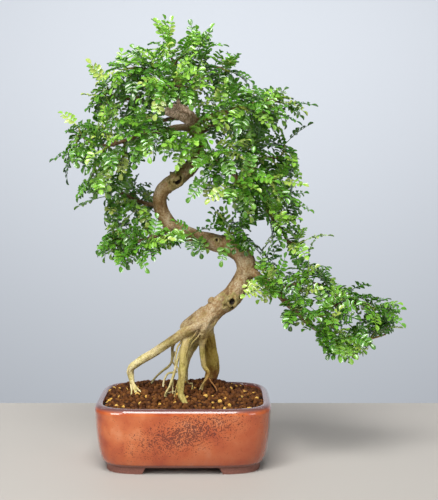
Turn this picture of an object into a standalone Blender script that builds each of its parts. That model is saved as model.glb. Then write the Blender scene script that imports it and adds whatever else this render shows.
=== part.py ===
# Sichuan pepper bonsai: an exposed-root tree in a glazed oblong pot.
#
# Metres, +Z up. The pot's four feet stand on z = 0, and the origin is under the middle of
# the whole object's box. Every place below is measured from the middle of the pot, which
# stands POT_CENTRE away from that origin because the crown leans out to +X.
# -Y is the front: the tall S of the trunk, the arched roots and the low right limb face it.
#
# The trunk, the limbs and the roots grew as one piece and are one body. Each leafy spray is
# a body of its own, a forked green shoot with compound leaves, and butts against a short
# stub of the wood that it grows from.

import math
import random

import bmesh
import bpy
import numpy
from mathutils import Matrix, Vector

MM = 0.001
GAP = 0.3 * MM          # between two bodies that touch
SEED = 20

# Where the middle of the pot stands in the object's own frame
POT_CENTRE = Vector((-68.0, -9.5, 0.0)) * MM

# Pot: a rounded oblong, narrower at the foot, with a rolled lip
POT_HALF_LENGTH = 119 * MM
POT_HALF_WIDTH = 90 * MM
POT_SQUARENESS = 5.0    # 2 would be an ellipse
POT_SIDES = 32
# Wall from the underside up the outside, over the lip and down to the floor:
# how far in from the lip's widest line, and how high
POT_WALL = [(13, 9), (8, 14), (4, 32), (1.4, 60), (1.6, 79), (0.2, 81), (0, 86), (1.2, 90),
            (8.4, 90), (10, 87), (10.6, 58), (22, 17)]
POT_LINING = POT_WALL[9:]   # the stretch of it that faces the soil
FLOOR_TOP = 17 * MM
FOOT_OUTSIDE = 14 * MM      # in from the lip's widest line
FOOT_INSIDE = 27 * MM
FOOT_ROOT = 12 * MM         # the feet run up into the floor to here
FRONT_ARCH = 54 * MM        # half the gap between two feet, along the long sides
SIDE_ARCH = 38 * MM         # and along the short sides
DRAIN_RADIUS = 9 * MM
DRAIN_X = 45 * MM
DRAIN_SIDES = 12

# Plastic mesh over each drain hole
SCREEN_SIZE = 30 * MM
SCREEN_THICKNESS = 1.4 * MM
SCREEN_CELLS = 5            # bars and holes alternate, so 5 cells hold 2 by 2 holes

# Soil: coarse grains, heaped a little towards the roots
SOIL_EDGE = 83 * MM
SOIL_RISE = 8 * MM
SOIL_RELIEF = 1.5 * MM
SOIL_PITCH = 15 * MM
SOIL_FORM_RISE = 20 * MM    # the form that shapes the block goes on this far past the wall
ROOT_HOLE_CLEARANCE = 0.45 * MM
ROOT_FOOT = 66 * MM         # how high the buried root ends are
HOLE_TOP = 118 * MM         # a root's hole is cut by the root's own form up to here

# Wood, in millimetres: x, y, z and radius along each route
TRUNK = [(10, 1, 177, 15.5), (23, -1, 194, 16), (37, -3, 205, 15), (50, -4, 215, 14),
         (64, -4, 226, 14.5), (79, -1, 246, 13), (87, 3, 267, 13), (78, 6, 288, 13),
         (52, 8, 299, 12), (16, 9, 311, 11), (-17, 6, 327, 10.2), (-31, 1, 351, 9.8),
         (-29, -3, 373, 9.6), (-10, -5, 391, 10), (11, -2, 411, 9.4), (20, 3, 440, 8.2), (12, 8, 471, 7.6),
         (-3, 9, 490, 6), (-9, 7, 520, 4), (-15, 5, 549, 2.4)]
ROOTS = {
    "left_arch": [(18, -2, 182, 8.5), (3, -6, 182, 7.2), (-17, -2, 166, 6.2), (-41, 6, 149, 5.4),
                  (-65, 14, 133, 5.2), (-76, 19, 122, 4.9), (-74, 21, 107, 4), (-72, 21, 93, 3.4),
                  (-69, 21, 79, 3)],
    "front_leg": [(11, -8, 181, 8), (3, -16, 165, 6.2), (-1, -22, 146, 5.6), (-1, -26, 126, 5.4),
                  (-2, -28, 106, 5), (-2, -28, 88, 4.4)],
    "right_leg": [(28, 6, 184, 10), (36, 20, 165, 9.2), (39, 36, 142, 8.6), (40, 50, 118, 8.6),
                  (38, 58, 101, 8.6), (37, 60, 88, 8.6)],
    "inner_leg": [(24, -4, 180, 6), (25, -2, 164, 3.8), (26, 2, 145, 3.2), (28, 8, 127, 2.8),
                  (33, 16, 116, 2.6), (30, 20, 105, 2.4), (26, 21, 93, 2.2)],
    "back_leg": [(22, 6, 176, 7), (15, 18, 156, 5), (6, 30, 140, 4.4), (1, 40, 121, 4),
                 (0, 44, 102, 3.8), (0, 44, 88, 3.6)],
    "thin_drop": [(-8, 0, 170, 3), (-16, 6, 157, 2.3), (-17, 14, 139, 2.1), (-21, 22, 127, 2),
                  (-33, 34, 115, 1.9), (-43, 44, 104, 1.8), (-50, 48, 91, 1.8)],
    "thin_fork": [(3, -4, 172, 3), (-5, -6, 152, 2.4), (-10, -8, 136, 2.2), (-14, -10, 120, 2.1),
                  (-20, -12, 103, 2), (-25, -13, 92, 1.9)],
}
LIMBS = {
    "low_right": [(90, 0, 266, 7), (103, -12, 256, 5.5), (118, -20, 246, 4.8),
                  (134, -24, 229, 4.2), (155, -22, 208, 3.6), (176, -18, 189, 3.2),
                  (201, -14, 173, 2.6), (232, -8, 167, 2.2), (260, -4, 170, 1.7),
                  (280, 0, 175, 1.4)],
    "low_right_rise": [(126, -22, 237, 3.4), (146, -8, 244, 2.6), (169, 6, 247, 2),
                       (189, 14, 243, 1.6)],
    "low_right_top": [(164, -20, 198, 3), (182, -8, 207, 2.4), (205, 2, 214, 2),
                      (230, 6, 218, 1.6), (252, 4, 217, 1.4)],
    "low_left": [(-11, 4, 325, 5.5), (-28, -14, 318, 4), (-47, -24, 309, 3.2),
                 (-69, -28, 305, 2.4), (-88, -24, 309, 1.8)],
    "left_mid": [(-32, 2, 352, 5), (-50, 12, 355, 3.4), (-69, 18, 361, 2.6), (-87, 16, 370, 2.1),
                 (-99, 10, 378, 1.6)],
    "left_tier": [(14, 4, 460, 6), (-9, -18, 458, 4.4), (-35, -32, 452, 3.6), (-64, -38, 445, 3),
                  (-93, -38, 435, 2.4), (-118, -34, 436, 1.8), (-131, -30, 444, 1.4)],
    "left_upper": [(1, 9, 485, 5.5), (-25, 24, 491, 4), (-53, 30, 496, 3.2), (-80, 28, 500, 2.4),
                   (-102, 20, 502, 1.7)],
    "left_back": [(9, 10, 474, 4.6), (-17, 38, 473, 3.2), (-44, 56, 468, 2.4),
                  (-64, 64, 462, 1.7)],
    "apex_left": [(-7, 8, 509, 3.8), (-27, -8, 524, 2.8), (-46, -18, 534, 2.2),
                  (-65, -20, 539, 1.6)],
    "apex_right": [(-9, 8, 517, 3.6), (10, 12, 534, 2.8), (31, 14, 542, 2.2), (53, 14, 541, 1.6)],
    "apex_front": [(-6, 6, 501, 4), (-6, -22, 507, 2.8), (-10, -46, 513, 2)],
    "apex_back": [(-8, 10, 507, 4), (-3, 34, 519, 2.8), (2, 58, 530, 2)],
    "right_upper": [(17, 6, 466, 6), (36, -8, 473, 4.4), (58, -20, 479, 3.4), (82, -24, 486, 2.8),
                    (106, -18, 493, 2.2), (128, -12, 497, 1.6)],
    "right_back": [(18, 6, 449, 5), (39, 34, 464, 3.6), (67, 52, 475, 2.6), (92, 58, 476, 1.9)],
    "right_mid": [(20, 0, 427, 6), (39, -2, 417, 4.8), (61, 0, 411, 4), (85, 2, 414, 3.2),
                  (110, 4, 418, 2.6), (135, 4, 419, 1.9)],
    "right_front": [(44, -2, 415, 4.2), (58, -24, 404, 3.2), (71, -38, 393, 2.6),
                    (87, -42, 382, 1.9)],
    "right_hang": [(77, 2, 411, 3.8), (94, -2, 398, 3.2), (107, -4, 376, 3), (111, -6, 354, 2.7),
                   (122, -6, 336, 2.3), (135, -4, 318, 1.8), (142, -2, 302, 1.4)],
}
# Old cuts, healed over: place on the wood's axis, where each faces, how far out, and how wide
KNOTS = [((62, -4, 223), (0.05, -1, -0.1), 15.8, 7), ((80, 6, 289), (0.1, -1, 0.4), 14, 4.5),
         ((44, 8, 304), (0.1, -1, 0.2), 13, 4), ((-10, -5, 391), (0.5, -0.8, -0.5), 11.5, 4.5)]
KNOT_SIDES = 7
DEAD_STUBS = [((12, 8, 471), (-26, -2, 476), 3.4), ((48, -4, 211), (37, -10, 224), 4.5)]
DEAD_STUB_SIDES = 5

# How finely each route is followed, and how many sides its wood has: more where it is thick
TRUNK_SPACING = 17 * MM
ROOT_SPACING = 22 * MM
LIMB_SPACING = 25 * MM
TRUNK_SIDES = 8
LIMB_SIDES = {name: 5 if route[0][3] >= 5 else 4 for name, route in LIMBS.items()}
ROOT_SIDES = {name: 6 if route[0][3] >= 6 else 4 for name, route in ROOTS.items()}
STUB_SIDES = 3              # what a spray grows from
SHOOT_SIDES = 4

# Foliage, in millimetres: for each limb its sprays, and for each spray its clumps' middles
SPRAYS = {
    "trunk": [[(-25, 5, 585)], [(8, 6, 569), (32, 12, 566)], [(2, -34, 456), (-3, -32, 427)],
              [(64, -6, 324), (89, 8, 309)], [(12, -26, 316)]],
    "apex_left": [[(-32, -36, 545), (-56, 8, 552)], [(-84, -14, 535), (-63, -40, 518)]],
    "apex_right": [[(26, -22, 544)], [(66, 0, 533), (50, 36, 530)]],
    "apex_front": [[(-12, -70, 513), (-33, -62, 501)], [(13, -58, 509)]],
    "apex_back": [[(-14, 72, 546)], [(28, 84, 526)]],
    "left_upper": [[(-105, 4, 517), (-119, 22, 494)], [(-68, 52, 521), (-88, 50, 484)],
                   [(-45, -4, 479)]],
    "left_tier": [[(-132, -30, 446), (-146, -26, 414)], [(-104, -60, 427), (-126, -42, 380)],
                  [(-97, -26, 462), (-118, -8, 468)], [(-76, -24, 422), (-91, -12, 390)],
                  [(-56, -64, 470), (-44, -58, 432)]],
    "left_back": [[(-84, 88, 446), (-46, 84, 484)]],
    "left_mid": [[(-104, -4, 366), (-100, 0, 337)], [(-62, -4, 349)],
                 [(-80, 44, 372), (-61, 48, 369)]],
    "low_left": [[(-92, -16, 307), (-77, -48, 300), (-95, -30, 323)],
                 [(-54, -40, 300), (-22, -38, 315)], [(-74, 0, 324)]],
    "right_upper": [[(42, -40, 490)], [(73, -50, 488), (91, -58, 476), (124, -40, 474)],
                    [(104, 8, 492), (146, -8, 494)]],
    "right_back": [[(44, 84, 478), (79, 92, 490)], [(115, 60, 468), (96, 84, 449)]],
    "right_mid": [[(74, -18, 438), (106, -20, 441)], [(136, 8, 430), (146, 2, 403)],
                  [(95, 40, 394), (132, 44, 397)]],
    "right_front": [[(34, -58, 432), (65, -70, 432)], [(29, -40, 387)],
                    [(65, -66, 377), (99, -64, 395), (95, -50, 366)]],
    "right_hang": [[(139, -22, 387), (158, 2, 350)], [(80, -6, 365)],
                   [(127, -28, 338), (104, -32, 352)], [(150, -4, 304)]],
    "low_right": [[(116, -2, 274)], [(106, -44, 241), (138, -46, 260)], [(150, -44, 216)],
                  [(200, -28, 176), (182, -44, 193)], [(226, -30, 178)],
                  [(257, 14, 167), (276, 0, 190)]],
    "low_right_rise": [[(174, 14, 271)], [(198, 16, 239)], [(162, -18, 235)]],
    "low_right_top": [[(188, -28, 203), (219, -18, 207)], [(228, 12, 224), (205, 26, 223)],
                      [(262, -4, 211)]],
}
# The crown and the low limb's foliage each spread round a middle of their own
CROWN_MIDDLES = [(0, 5, 440), (195, -5, 205)]
YOUNG_SPRAYS = ["spray_trunk_1", "spray_trunk_2", "spray_trunk_3"]

# How a shoot grows
SHOOT_BASE = 1.7 * MM       # radius
SHOOT_TIP = 1.1 * MM
SHOOT_LEAST = 14 * MM       # shortest shoot
SHOOT_STEPS = 12            # rows along its curve
SHOOT_SET_BACK = 0.3        # it leaves the limb this share of its reach nearer to the trunk
STUB_CLEAR = 1.9 * MM       # the stub ends this far off the limb's bark
FORK_CLEAR = 2.6 * MM       # a fork leaves a shoot at least this far past its stub
FORK_SHARE = 0.6            # radius of its foot, which stays inside that shoot
SHOOT_TRIES = 40
SHOOT_SWAY = 0.12           # how far its curve may sway at the first try, as a share of it
SHOOT_SPREAD = 0.5          # and how much further at the last
SHOOT_TURN = 0.6            # how much of that spread also turns its tip
ROOM_ENOUGH = 0.9           # a try is kept once it is this share of STUB_CLEAR off the rest
SAMPLE_SPACING = 4 * MM     # between the places at which growth is kept apart

# How a compound leaf grows
LEAF_LENGTHS = (34 * MM, 54 * MM)
LEAF_THICKNESS = 0.8 * MM
LEAF_LEAD = 14 * MM         # a shoot ends this far short of its clump's middle
LEAFLET_PAIRS = 3
LEAFLET_REACH = 9.2 * MM    # from the rib to the leaflet's tip
RIB_HALF_WIDTH = 0.75 * MM
PETIOLE_SHARE = 0.2
RACHIS_SHARE = 0.78
LEAF_FOOT = 4 * MM          # over this length a shoot's end narrows to its end leaf's foot
LEAF_TRIES = 60
LEAF_WANDER = (0.2, 0.9)    # how far it may turn aside at the first try, and how much further
LEAF_ONWARD = 0.8           # it follows its shoot this much, and points out of the crown
LEAF_OUTWARD = 0.45         # this much
LEAF_LEVEL = 0.6            # but up or down only this share of the way
LEAF_ROLLS = (-0.6, 0.6)
LEAF_TILTS = (-0.9, 0.3)
LEAF_FACE_OUT = 0.3         # its upper face also turns out of the crown by this much
LEAF_DROOPS = (0.25, 1.0)   # how far it bends down along its length, in radians
LEAF_FOLDS = (-0.2, 0.35)   # how steeply its two sides rise from the rib
LEAF_BALL = 3.6 * MM        # the room kept round each of its samples


def colour(code):
    """Linear colour of an sRGB hex code such as "C86E46"."""
    channels = [int(code[start:start + 2], 16) / 255 for start in (0, 2, 4)]
    return [c / 12.92 if c <= 0.04045 else ((c + 0.055) / 1.055) ** 2.4 for c in channels] + [1]


def material(name, code, roughness):
    """A plain dielectric finish, since nothing on the tree or its pot is metal."""
    finish = bpy.data.materials.new(name)
    finish.use_nodes = True
    shader = finish.node_tree.nodes["Principled BSDF"]
    shader.inputs["Base Color"].default_value = colour(code)
    shader.inputs["Roughness"].default_value = roughness
    shader.inputs["Metallic"].default_value = 0.0
    return finish


def unit(vector):
    return vector / numpy.linalg.norm(vector)


def metres(places):
    """Places given in millimetres as arrays in metres; a radius is scaled with its place."""
    return [numpy.array(place, float) * MM for place in places]


def smooth(route, spacing):
    """Rows of x, y, z and radius along one smooth curve through the route's own rows."""
    ends = [2 * route[0] - route[1]] + route + [2 * route[-1] - route[-2]]
    rows = []
    for before, start, end, after in zip(ends, ends[1:], ends[2:], ends[3:]):
        steps = max(1, round(float(numpy.linalg.norm((end - start)[:3])) / spacing))
        for step in range(steps):
            t = step / steps
            rows.append(0.5 * (2 * start + (end - before) * t
                               + (2 * before - 5 * start + 4 * end - after) * t ** 2
                               + (3 * start - before - 3 * end + after) * t ** 3))
    return numpy.array(rows + [route[-1]])


def face_outwards(mesh):
    """Point every face of a closed mesh away from its inside."""
    bmesh.ops.recalc_face_normals(mesh, faces=mesh.faces[:])
    if mesh.calc_volume(signed=True) < 0:
        bmesh.ops.reverse_faces(mesh, faces=mesh.faces[:])


def loft(mesh, rings, closed=False, onto=None):
    """Bridge rings of equal size; the ends are capped, unless they meet or lead onto a loop."""
    loops = [[mesh.verts.new(place) for place in ring] for ring in rings]
    if not closed:
        mesh.faces.new(reversed(loops[0]))
    if onto:
        loops.append(onto)
    elif closed:
        loops.append(loops[0])
    else:
        mesh.faces.new(loops[-1])
    pairs = zip(loops, loops[1:])
    for low, high in pairs:
        for index in range(len(low)):
            after = (index + 1) % len(low)
            mesh.faces.new((low[index], low[after], high[after], high[index]))


def heading(rows, index):
    """Which way a route runs at one of its rows."""
    return unit((rows[min(index + 1, len(rows) - 1)] - rows[max(index - 1, 0)])[:3])


def square_to(across, ahead):
    return unit(across - ahead * across.dot(ahead))


def tube_rings(rows, sides, across=(0.3, 1.0, 0.2)):
    """Rings square to a route, turning no more than the route itself does."""
    rings = []
    for index, row in enumerate(rows):
        ahead = heading(rows, index)
        across = square_to(numpy.array(across), ahead)
        beside = numpy.cross(ahead, across)
        turns = [2 * math.pi * side / sides for side in range(sides)]
        rings.append([row[:3] + row[3] * (math.cos(turn) * across + math.sin(turn) * beside)
                      for turn in turns])
    return rings


def mesh_object(name, mesh, finish=None):
    """A scene object from a bmesh, which is used up."""
    data = bpy.data.meshes.new(name)
    mesh.to_mesh(data)
    mesh.free()
    thing = bpy.data.objects.new(name, data)
    bpy.context.scene.collection.objects.link(thing)
    if finish:
        data.materials.append(finish)
    return thing


def lofted(name, rings):
    mesh = bmesh.new()
    loft(mesh, rings)
    return mesh_object(name, mesh)


def tube(name, rows, sides):
    return lofted(name, tube_rings(rows, sides))


def combine(thing, others, operation):
    """Join other bodies to a body, cut them from it or keep what they share, for good."""
    group = bpy.data.collections.new(thing.name + "_others")
    bpy.context.scene.collection.children.link(group)
    for other in others:
        group.objects.link(other)
    boolean = thing.modifiers.new("combine", "BOOLEAN")
    boolean.operand_type = "COLLECTION"
    boolean.collection = group
    boolean.operation = operation
    boolean.solver = "EXACT"
    finish = list(thing.data.materials)
    seen = thing.evaluated_get(bpy.context.evaluated_depsgraph_get())
    result = bpy.data.meshes.new_from_object(seen)
    thing.modifiers.remove(boolean)
    thing.data = result
    result.materials.clear()
    for one in finish:
        result.materials.append(one)
    for other in others:
        bpy.data.objects.remove(other)
    bpy.data.collections.remove(group)


def clean(thing):
    """Merge points that a boolean left closer than two thousandths of a millimetre."""
    mesh = bmesh.new()
    mesh.from_mesh(thing.data)
    bmesh.ops.remove_doubles(mesh, verts=mesh.verts, dist=0.002 * MM)
    mesh.to_mesh(thing.data)
    mesh.free()


# Pot

def pot_ring(inward, height, sides=POT_SIDES):
    """Plan of the pot at one height, as a superellipse inside the lip's widest line."""
    ring = []
    power = 2 / POT_SQUARENESS
    for side in range(sides):
        turn = 2 * math.pi * (side + 0.5) / sides
        x = math.copysign(abs(math.cos(turn)) ** power, math.cos(turn))
        y = math.copysign(abs(math.sin(turn)) ** power, math.sin(turn))
        ring.append((x * (POT_HALF_LENGTH - inward), y * (POT_HALF_WIDTH - inward), height))
    return ring


def box(name, low, high):
    """A plain block between two corners."""
    mesh = bmesh.new()
    size = Vector(high) - Vector(low)
    middle = (Vector(high) + Vector(low)) / 2
    bmesh.ops.create_cube(mesh, size=1, matrix=Matrix.LocRotScale(middle, None, size))
    return mesh_object(name, mesh)


def make_feet():
    """A low band under the pot, cut through on all four sides so that its corners are feet."""
    mesh = bmesh.new()
    rings = [(FOOT_OUTSIDE, 0), (FOOT_OUTSIDE, FOOT_ROOT), (FOOT_INSIDE, FOOT_ROOT),
             (FOOT_INSIDE, 0)]
    loft(mesh, [pot_ring(inward, height) for inward, height in rings], closed=True)
    feet = mesh_object("feet", mesh)
    beyond = POT_HALF_LENGTH + 20 * MM
    tall = FOOT_ROOT + 20 * MM
    arches = [box("front_arch", (-FRONT_ARCH, -beyond, -tall), (FRONT_ARCH, beyond, tall)),
              box("side_arch", (-beyond, -SIDE_ARCH, -tall), (beyond, SIDE_ARCH, tall))]
    combine(feet, arches, "DIFFERENCE")
    return feet


def make_drain(x):
    mesh = bmesh.new()
    depth = 4 * FLOOR_TOP
    bmesh.ops.create_cone(mesh, cap_ends=True, segments=DRAIN_SIDES, radius1=DRAIN_RADIUS,
                          radius2=DRAIN_RADIUS, depth=depth,
                          matrix=Matrix.Translation((x, 0, FLOOR_TOP)))
    return mesh_object("drain", mesh)


def make_pot():
    mesh = bmesh.new()
    loft(mesh, [pot_ring(inward * MM, height * MM) for inward, height in POT_WALL])
    pot = mesh_object("pot", mesh, material("glazed_stoneware", "C0683F", 0.22))
    combine(pot, [make_feet()], "UNION")
    combine(pot, [make_drain(-DRAIN_X), make_drain(DRAIN_X)], "DIFFERENCE")
    clean(pot)
    return pot


def make_screen(name, x, finish):
    """A square of coarse plastic mesh that keeps the soil from a drain hole."""
    mesh = bmesh.new()
    bmesh.ops.create_grid(mesh, x_segments=SCREEN_CELLS, y_segments=SCREEN_CELLS,
                          size=SCREEN_SIZE / 2)
    pitch = SCREEN_SIZE / SCREEN_CELLS
    holes = []
    for face in mesh.faces:
        column = int((face.calc_center_median().x + SCREEN_SIZE / 2) / pitch)
        row = int((face.calc_center_median().y + SCREEN_SIZE / 2) / pitch)
        if column % 2 and row % 2:
            holes.append(face)
    bmesh.ops.delete(mesh, geom=holes, context="FACES")
    thicken(mesh, SCREEN_THICKNESS)
    screen = mesh_object(name, mesh, finish)
    screen.location = (x, 0, FLOOR_TOP + GAP)
    return screen


def thicken(mesh, height):
    """Turn a flat sheet at z = 0 into a slab that stands on it, alike on both faces."""
    extruded = bmesh.ops.extrude_face_region(mesh, geom=mesh.faces[:])
    raised = [item for item in extruded["geom"] if isinstance(item, bmesh.types.BMVert)]
    bmesh.ops.translate(mesh, verts=raised, vec=(0, 0, height))
    face_outwards(mesh)


# Soil

def soil_height(x, y):
    """Heaped towards the middle, level at the wall."""
    along = min(1, abs(x) / POT_HALF_LENGTH)
    across = min(1, abs(y) / POT_HALF_WIDTH)
    return SOIL_EDGE + SOIL_RISE * (1 - along ** 2) * (1 - across ** 2)


def soil_form():
    """The room inside the pot, a gap's width off its wall and floor."""
    rings = [(inward * MM + GAP, height * MM) for inward, height in reversed(POT_LINING)]
    floor, *wall = rings
    floor = (floor[0], floor[1] + GAP)
    top = (wall[-1][0], wall[-1][1] + SOIL_FORM_RISE)
    return lofted("soil_form", [pot_ring(*ring) for ring in [floor] + wall + [top]])


def make_soil(root_routes):
    """A block of soil with a grained top, a hole for each root and room for the screens."""
    draw = random.Random(SEED)
    columns = round(2 * POT_HALF_LENGTH / SOIL_PITCH)
    rows = round(2 * POT_HALF_WIDTH / SOIL_PITCH)
    mesh = bmesh.new()
    half = Matrix.Diagonal((POT_HALF_LENGTH, POT_HALF_WIDTH, 1, 1))
    bmesh.ops.create_grid(mesh, x_segments=columns, y_segments=rows, size=1, matrix=half)
    bottom = mesh.verts[:]
    extruded = bmesh.ops.extrude_face_region(mesh, geom=mesh.faces[:])
    surface = [item for item in extruded["geom"] if isinstance(item, bmesh.types.BMVert)]
    for vert in surface:
        grain = draw.uniform(-SOIL_RELIEF, SOIL_RELIEF)
        vert.co.z = soil_height(vert.co.x, vert.co.y) + grain
    face_outwards(mesh)
    flat = [edge for edge in mesh.edges if all(vert in bottom for vert in edge.verts)]
    bmesh.ops.dissolve_limit(mesh, angle_limit=0.01, edges=flat, verts=bottom)
    bmesh.ops.triangulate(mesh, faces=mesh.faces[:])
    soil = mesh_object("soil", mesh, material("akadama_soil", "54392A", 0.95))
    combine(soil, [soil_form()], "INTERSECT")
    cuts = [root_hole(name, route) for name, route in root_routes.items()]
    for x in (-DRAIN_X, DRAIN_X):
        half = SCREEN_SIZE / 2 + GAP
        cuts.append(box("screen_room", (x - half, -half, 0),
                        (x + half, half, FLOOR_TOP + SCREEN_THICKNESS + 2 * GAP)))
    combine(soil, cuts, "DIFFERENCE")
    clean(soil)
    return soil


def root_hole(name, rows):
    """What a root's buried end needs: its own form a little wider, and a little deeper."""
    wider = rows.copy()
    wider[:, 3] += ROOT_HOLE_CLEARANCE
    wider[-1, 2] -= ROOT_HOLE_CLEARANCE
    rings = tube_rings(wider, ROOT_SIDES[name])
    buried = [ring for ring, row in zip(rings, rows) if row[2] < HOLE_TOP]
    return lofted("hole_" + name, buried)


# Wood

def root_route(name):
    """A root from the trunk down to its buried end."""
    foot = ROOTS[name][-1]
    return smooth(metres(ROOTS[name] + [(foot[0], foot[1], ROOT_FOOT / MM, foot[3])]),
                  ROOT_SPACING)


def make_knot(number, place, facing, out, width):
    """A healed cut: a low ring of bark round a dished middle."""
    facing = unit(numpy.array(facing, float))
    middle = numpy.array(place, float)
    profile = [(0.3 * out, width * 1.25), (out - 1.2, width * 1.2), (out, width),
               (out - 1.6, width * 0.5)]
    rows = [numpy.append(middle + facing * along, radius) * MM for along, radius in profile]
    onward = numpy.append(facing, 0)
    rings = [tube_rings([row, row + onward], KNOT_SIDES)[0] for row in rows]
    return lofted(f"knot_{number}", rings)


def make_tree(stubs):
    """Trunk, limbs, roots, knots and the stubs that carry the sprays, grown as one."""
    tree = tube("tree", smooth(metres(TRUNK), TRUNK_SPACING), TRUNK_SIDES)
    tree.data.materials.append(material("bark", "9C8A70", 0.85))
    grown = [tube(name, root_route(name), ROOT_SIDES[name]) for name in ROOTS]
    grown += [tube(name, smooth(metres(route), LIMB_SPACING), LIMB_SIDES[name])
              for name, route in LIMBS.items()]
    grown += [make_knot(number, *knot) for number, knot in enumerate(KNOTS)]
    for start, end, radius in DEAD_STUBS:
        ends = [numpy.array(start + (radius * 1.2,)), numpy.array(end + (radius,))]
        grown.append(tube("dead_stub", numpy.array(ends) * MM, DEAD_STUB_SIDES))
    grown += [lofted("stub", rings) for rings in stubs]
    combine(tree, grown, "UNION")
    clean(tree)
    return tree


# Foliage

class Room:
    """What already fills the air round the tree, as balls that new growth keeps off."""

    def __init__(self):
        self.centres = numpy.empty((0, 3))
        self.radii = numpy.empty(0)

    def add(self, centres, radii):
        self.centres = numpy.vstack((self.centres, centres))
        self.radii = numpy.append(self.radii, numpy.broadcast_to(radii, len(centres)))

    def clearance(self, centres, radius):
        """The least free distance round balls of one radius at these centres."""
        apart = numpy.linalg.norm(centres[:, None, :] - self.centres[None, :, :], axis=2)
        return float((apart - self.radii[None, :]).min()) - radius


def wood_room():
    """The room that the trunk, the limbs and the roots take."""
    room = Room()
    routes = [TRUNK] + list(LIMBS.values()) + list(ROOTS.values())
    for route in routes:
        rows = smooth(metres(route), SAMPLE_SPACING)
        room.add(rows[:, :3], rows[:, 3])
    return room


def bow(base, ahead, tip, sway):
    """A curve from base to tip that sets off partly ahead."""
    length = float(numpy.linalg.norm(tip - base))
    middle = base + (unit(tip - base) + 0.5 * ahead + sway) * length * 0.42
    rows = []
    for step in range(SHOOT_STEPS + 1):
        t = step / SHOOT_STEPS
        place = (1 - t) ** 2 * base + 2 * t * (1 - t) * middle + t ** 2 * tip
        rows.append(numpy.append(place, SHOOT_BASE + (SHOOT_TIP - SHOOT_BASE) * t))
    return numpy.array(rows)


def last_fork_row(length):
    """The last row of a shoot's curve that lies before the foot of its end leaf."""
    return int(SHOOT_STEPS * (1 - (LEAF_FOOT + 1 * MM) / length))


class Shoot:
    """A shoot of one spray, from the middle of the wood or the shoot that it grows from."""

    def __init__(self, rows, leaves_at, forked):
        self.rows = rows
        self.leaves_at = leaves_at
        self.forked = forked
        self.forks = []         # rows at which other shoots leave this one
        steps = numpy.linalg.norm(numpy.diff(rows[:, :3], axis=0), axis=1)
        self.length = float(steps.sum())

    def stem(self):
        """First and last row that another shoot may leave from."""
        last = last_fork_row(self.length)
        beyond_cut = math.ceil(FORK_CLEAR * SHOOT_STEPS / self.length)
        return min(self.leaves_at + beyond_cut, last), last

    def bends(self):
        """The rows between its ends that its solid passes through: its forks and its middle."""
        middle = min((self.leaves_at + SHOOT_STEPS) // 2, self.stem()[1])
        if any(abs(fork - middle) < 3 for fork in self.forks):
            return sorted(set(self.forks))
        return sorted({middle, *self.forks})

    def stub_rings(self):
        """What stays on the wood: from its axis to just off its bark, square to the rest."""
        foot, cut = self.rows[0], self.rows[self.leaves_at]
        onward = cut - (self.rows[self.bends()[0]] - cut)
        return [tube_rings(numpy.array([foot, cut]), STUB_SIDES)[0],
                tube_rings(numpy.array([onward, cut]), STUB_SIDES)[1]]

    def twig(self):
        """The rest, up to where it narrows into the foot of its end leaf."""
        rows = self.rows
        bends = [rows[bend] for bend in self.bends()]
        if self.forked:
            start = rows[0] * (1, 1, 1, FORK_SHARE)
        else:
            start = rows[self.leaves_at]
            start = start + GAP * numpy.append(unit((bends[0] - start)[:3]), 0)
        end = rows[-1] - LEAF_FOOT * numpy.append(heading(rows, SHOOT_STEPS), 0)
        return numpy.array([start] + bends + [end])

    def straight_points(self):
        """Places along the straight stretches of its solid."""
        twig = self.twig()[:, :3]
        return numpy.vstack([numpy.linspace(low, high, 12)
                             for low, high in zip(twig, twig[1:])])


def grow_shoot(parent, allowed, centre, forked, wood, room, draw):
    """One shoot from the nearest stretch of its parent to a clump, clear of other growth.

    Returns the parent's row that it leaves, and the shoot."""
    low, high = allowed
    reach = numpy.linalg.norm(parent[:, :3] - centre, axis=1)
    nearest = low + int(reach[low:high + 1].argmin())
    back = int(round(SHOOT_SET_BACK * reach[nearest] / SAMPLE_SPACING))
    start = max(nearest - back, low)
    base = parent[start, :3]
    towards = unit(centre - base)
    set_back = (nearest - start) * SAMPLE_SPACING
    distance = float(numpy.linalg.norm(centre - base))
    inside = 0 if forked else parent[nearest, 3]
    length = max(SHOOT_LEAST + inside + set_back, distance - LEAF_LEAD)
    best = None
    for attempt in range(SHOOT_TRIES):
        spread = SHOOT_SPREAD * attempt / SHOOT_TRIES
        sway = numpy.array([draw.uniform(-1, 1) for _ in range(3)]) * (SHOOT_SWAY + spread)
        turn = numpy.array([draw.uniform(-1, 1) for _ in range(3)]) * SHOOT_TURN * spread
        tip = base + unit(towards + turn) * length
        rows = bow(base, heading(parent, start), tip, sway)
        off = numpy.linalg.norm(rows[:, None, :3] - parent[None, :, :3], axis=2)
        off = (off - parent[None, :, 3]).min(axis=1)
        free = [index for index in range(1, last_fork_row(length) - 1)
                if off[index] > SHOOT_BASE + STUB_CLEAR]
        shoot = Shoot(rows, free[0] if free else 1, forked)
        space = min(wood.clearance(rows[0 if forked else shoot.leaves_at:, :3], SHOOT_BASE),
                    wood.clearance(shoot.straight_points(), SHOOT_BASE),
                    room.clearance(rows[shoot.leaves_at + 2:, :3], SHOOT_BASE))
        if best is None or space > best[0]:
            best = (space, shoot)
        if free and space > ROOM_ENOUGH * STUB_CLEAR:
            break
    return start, best[1]


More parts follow.
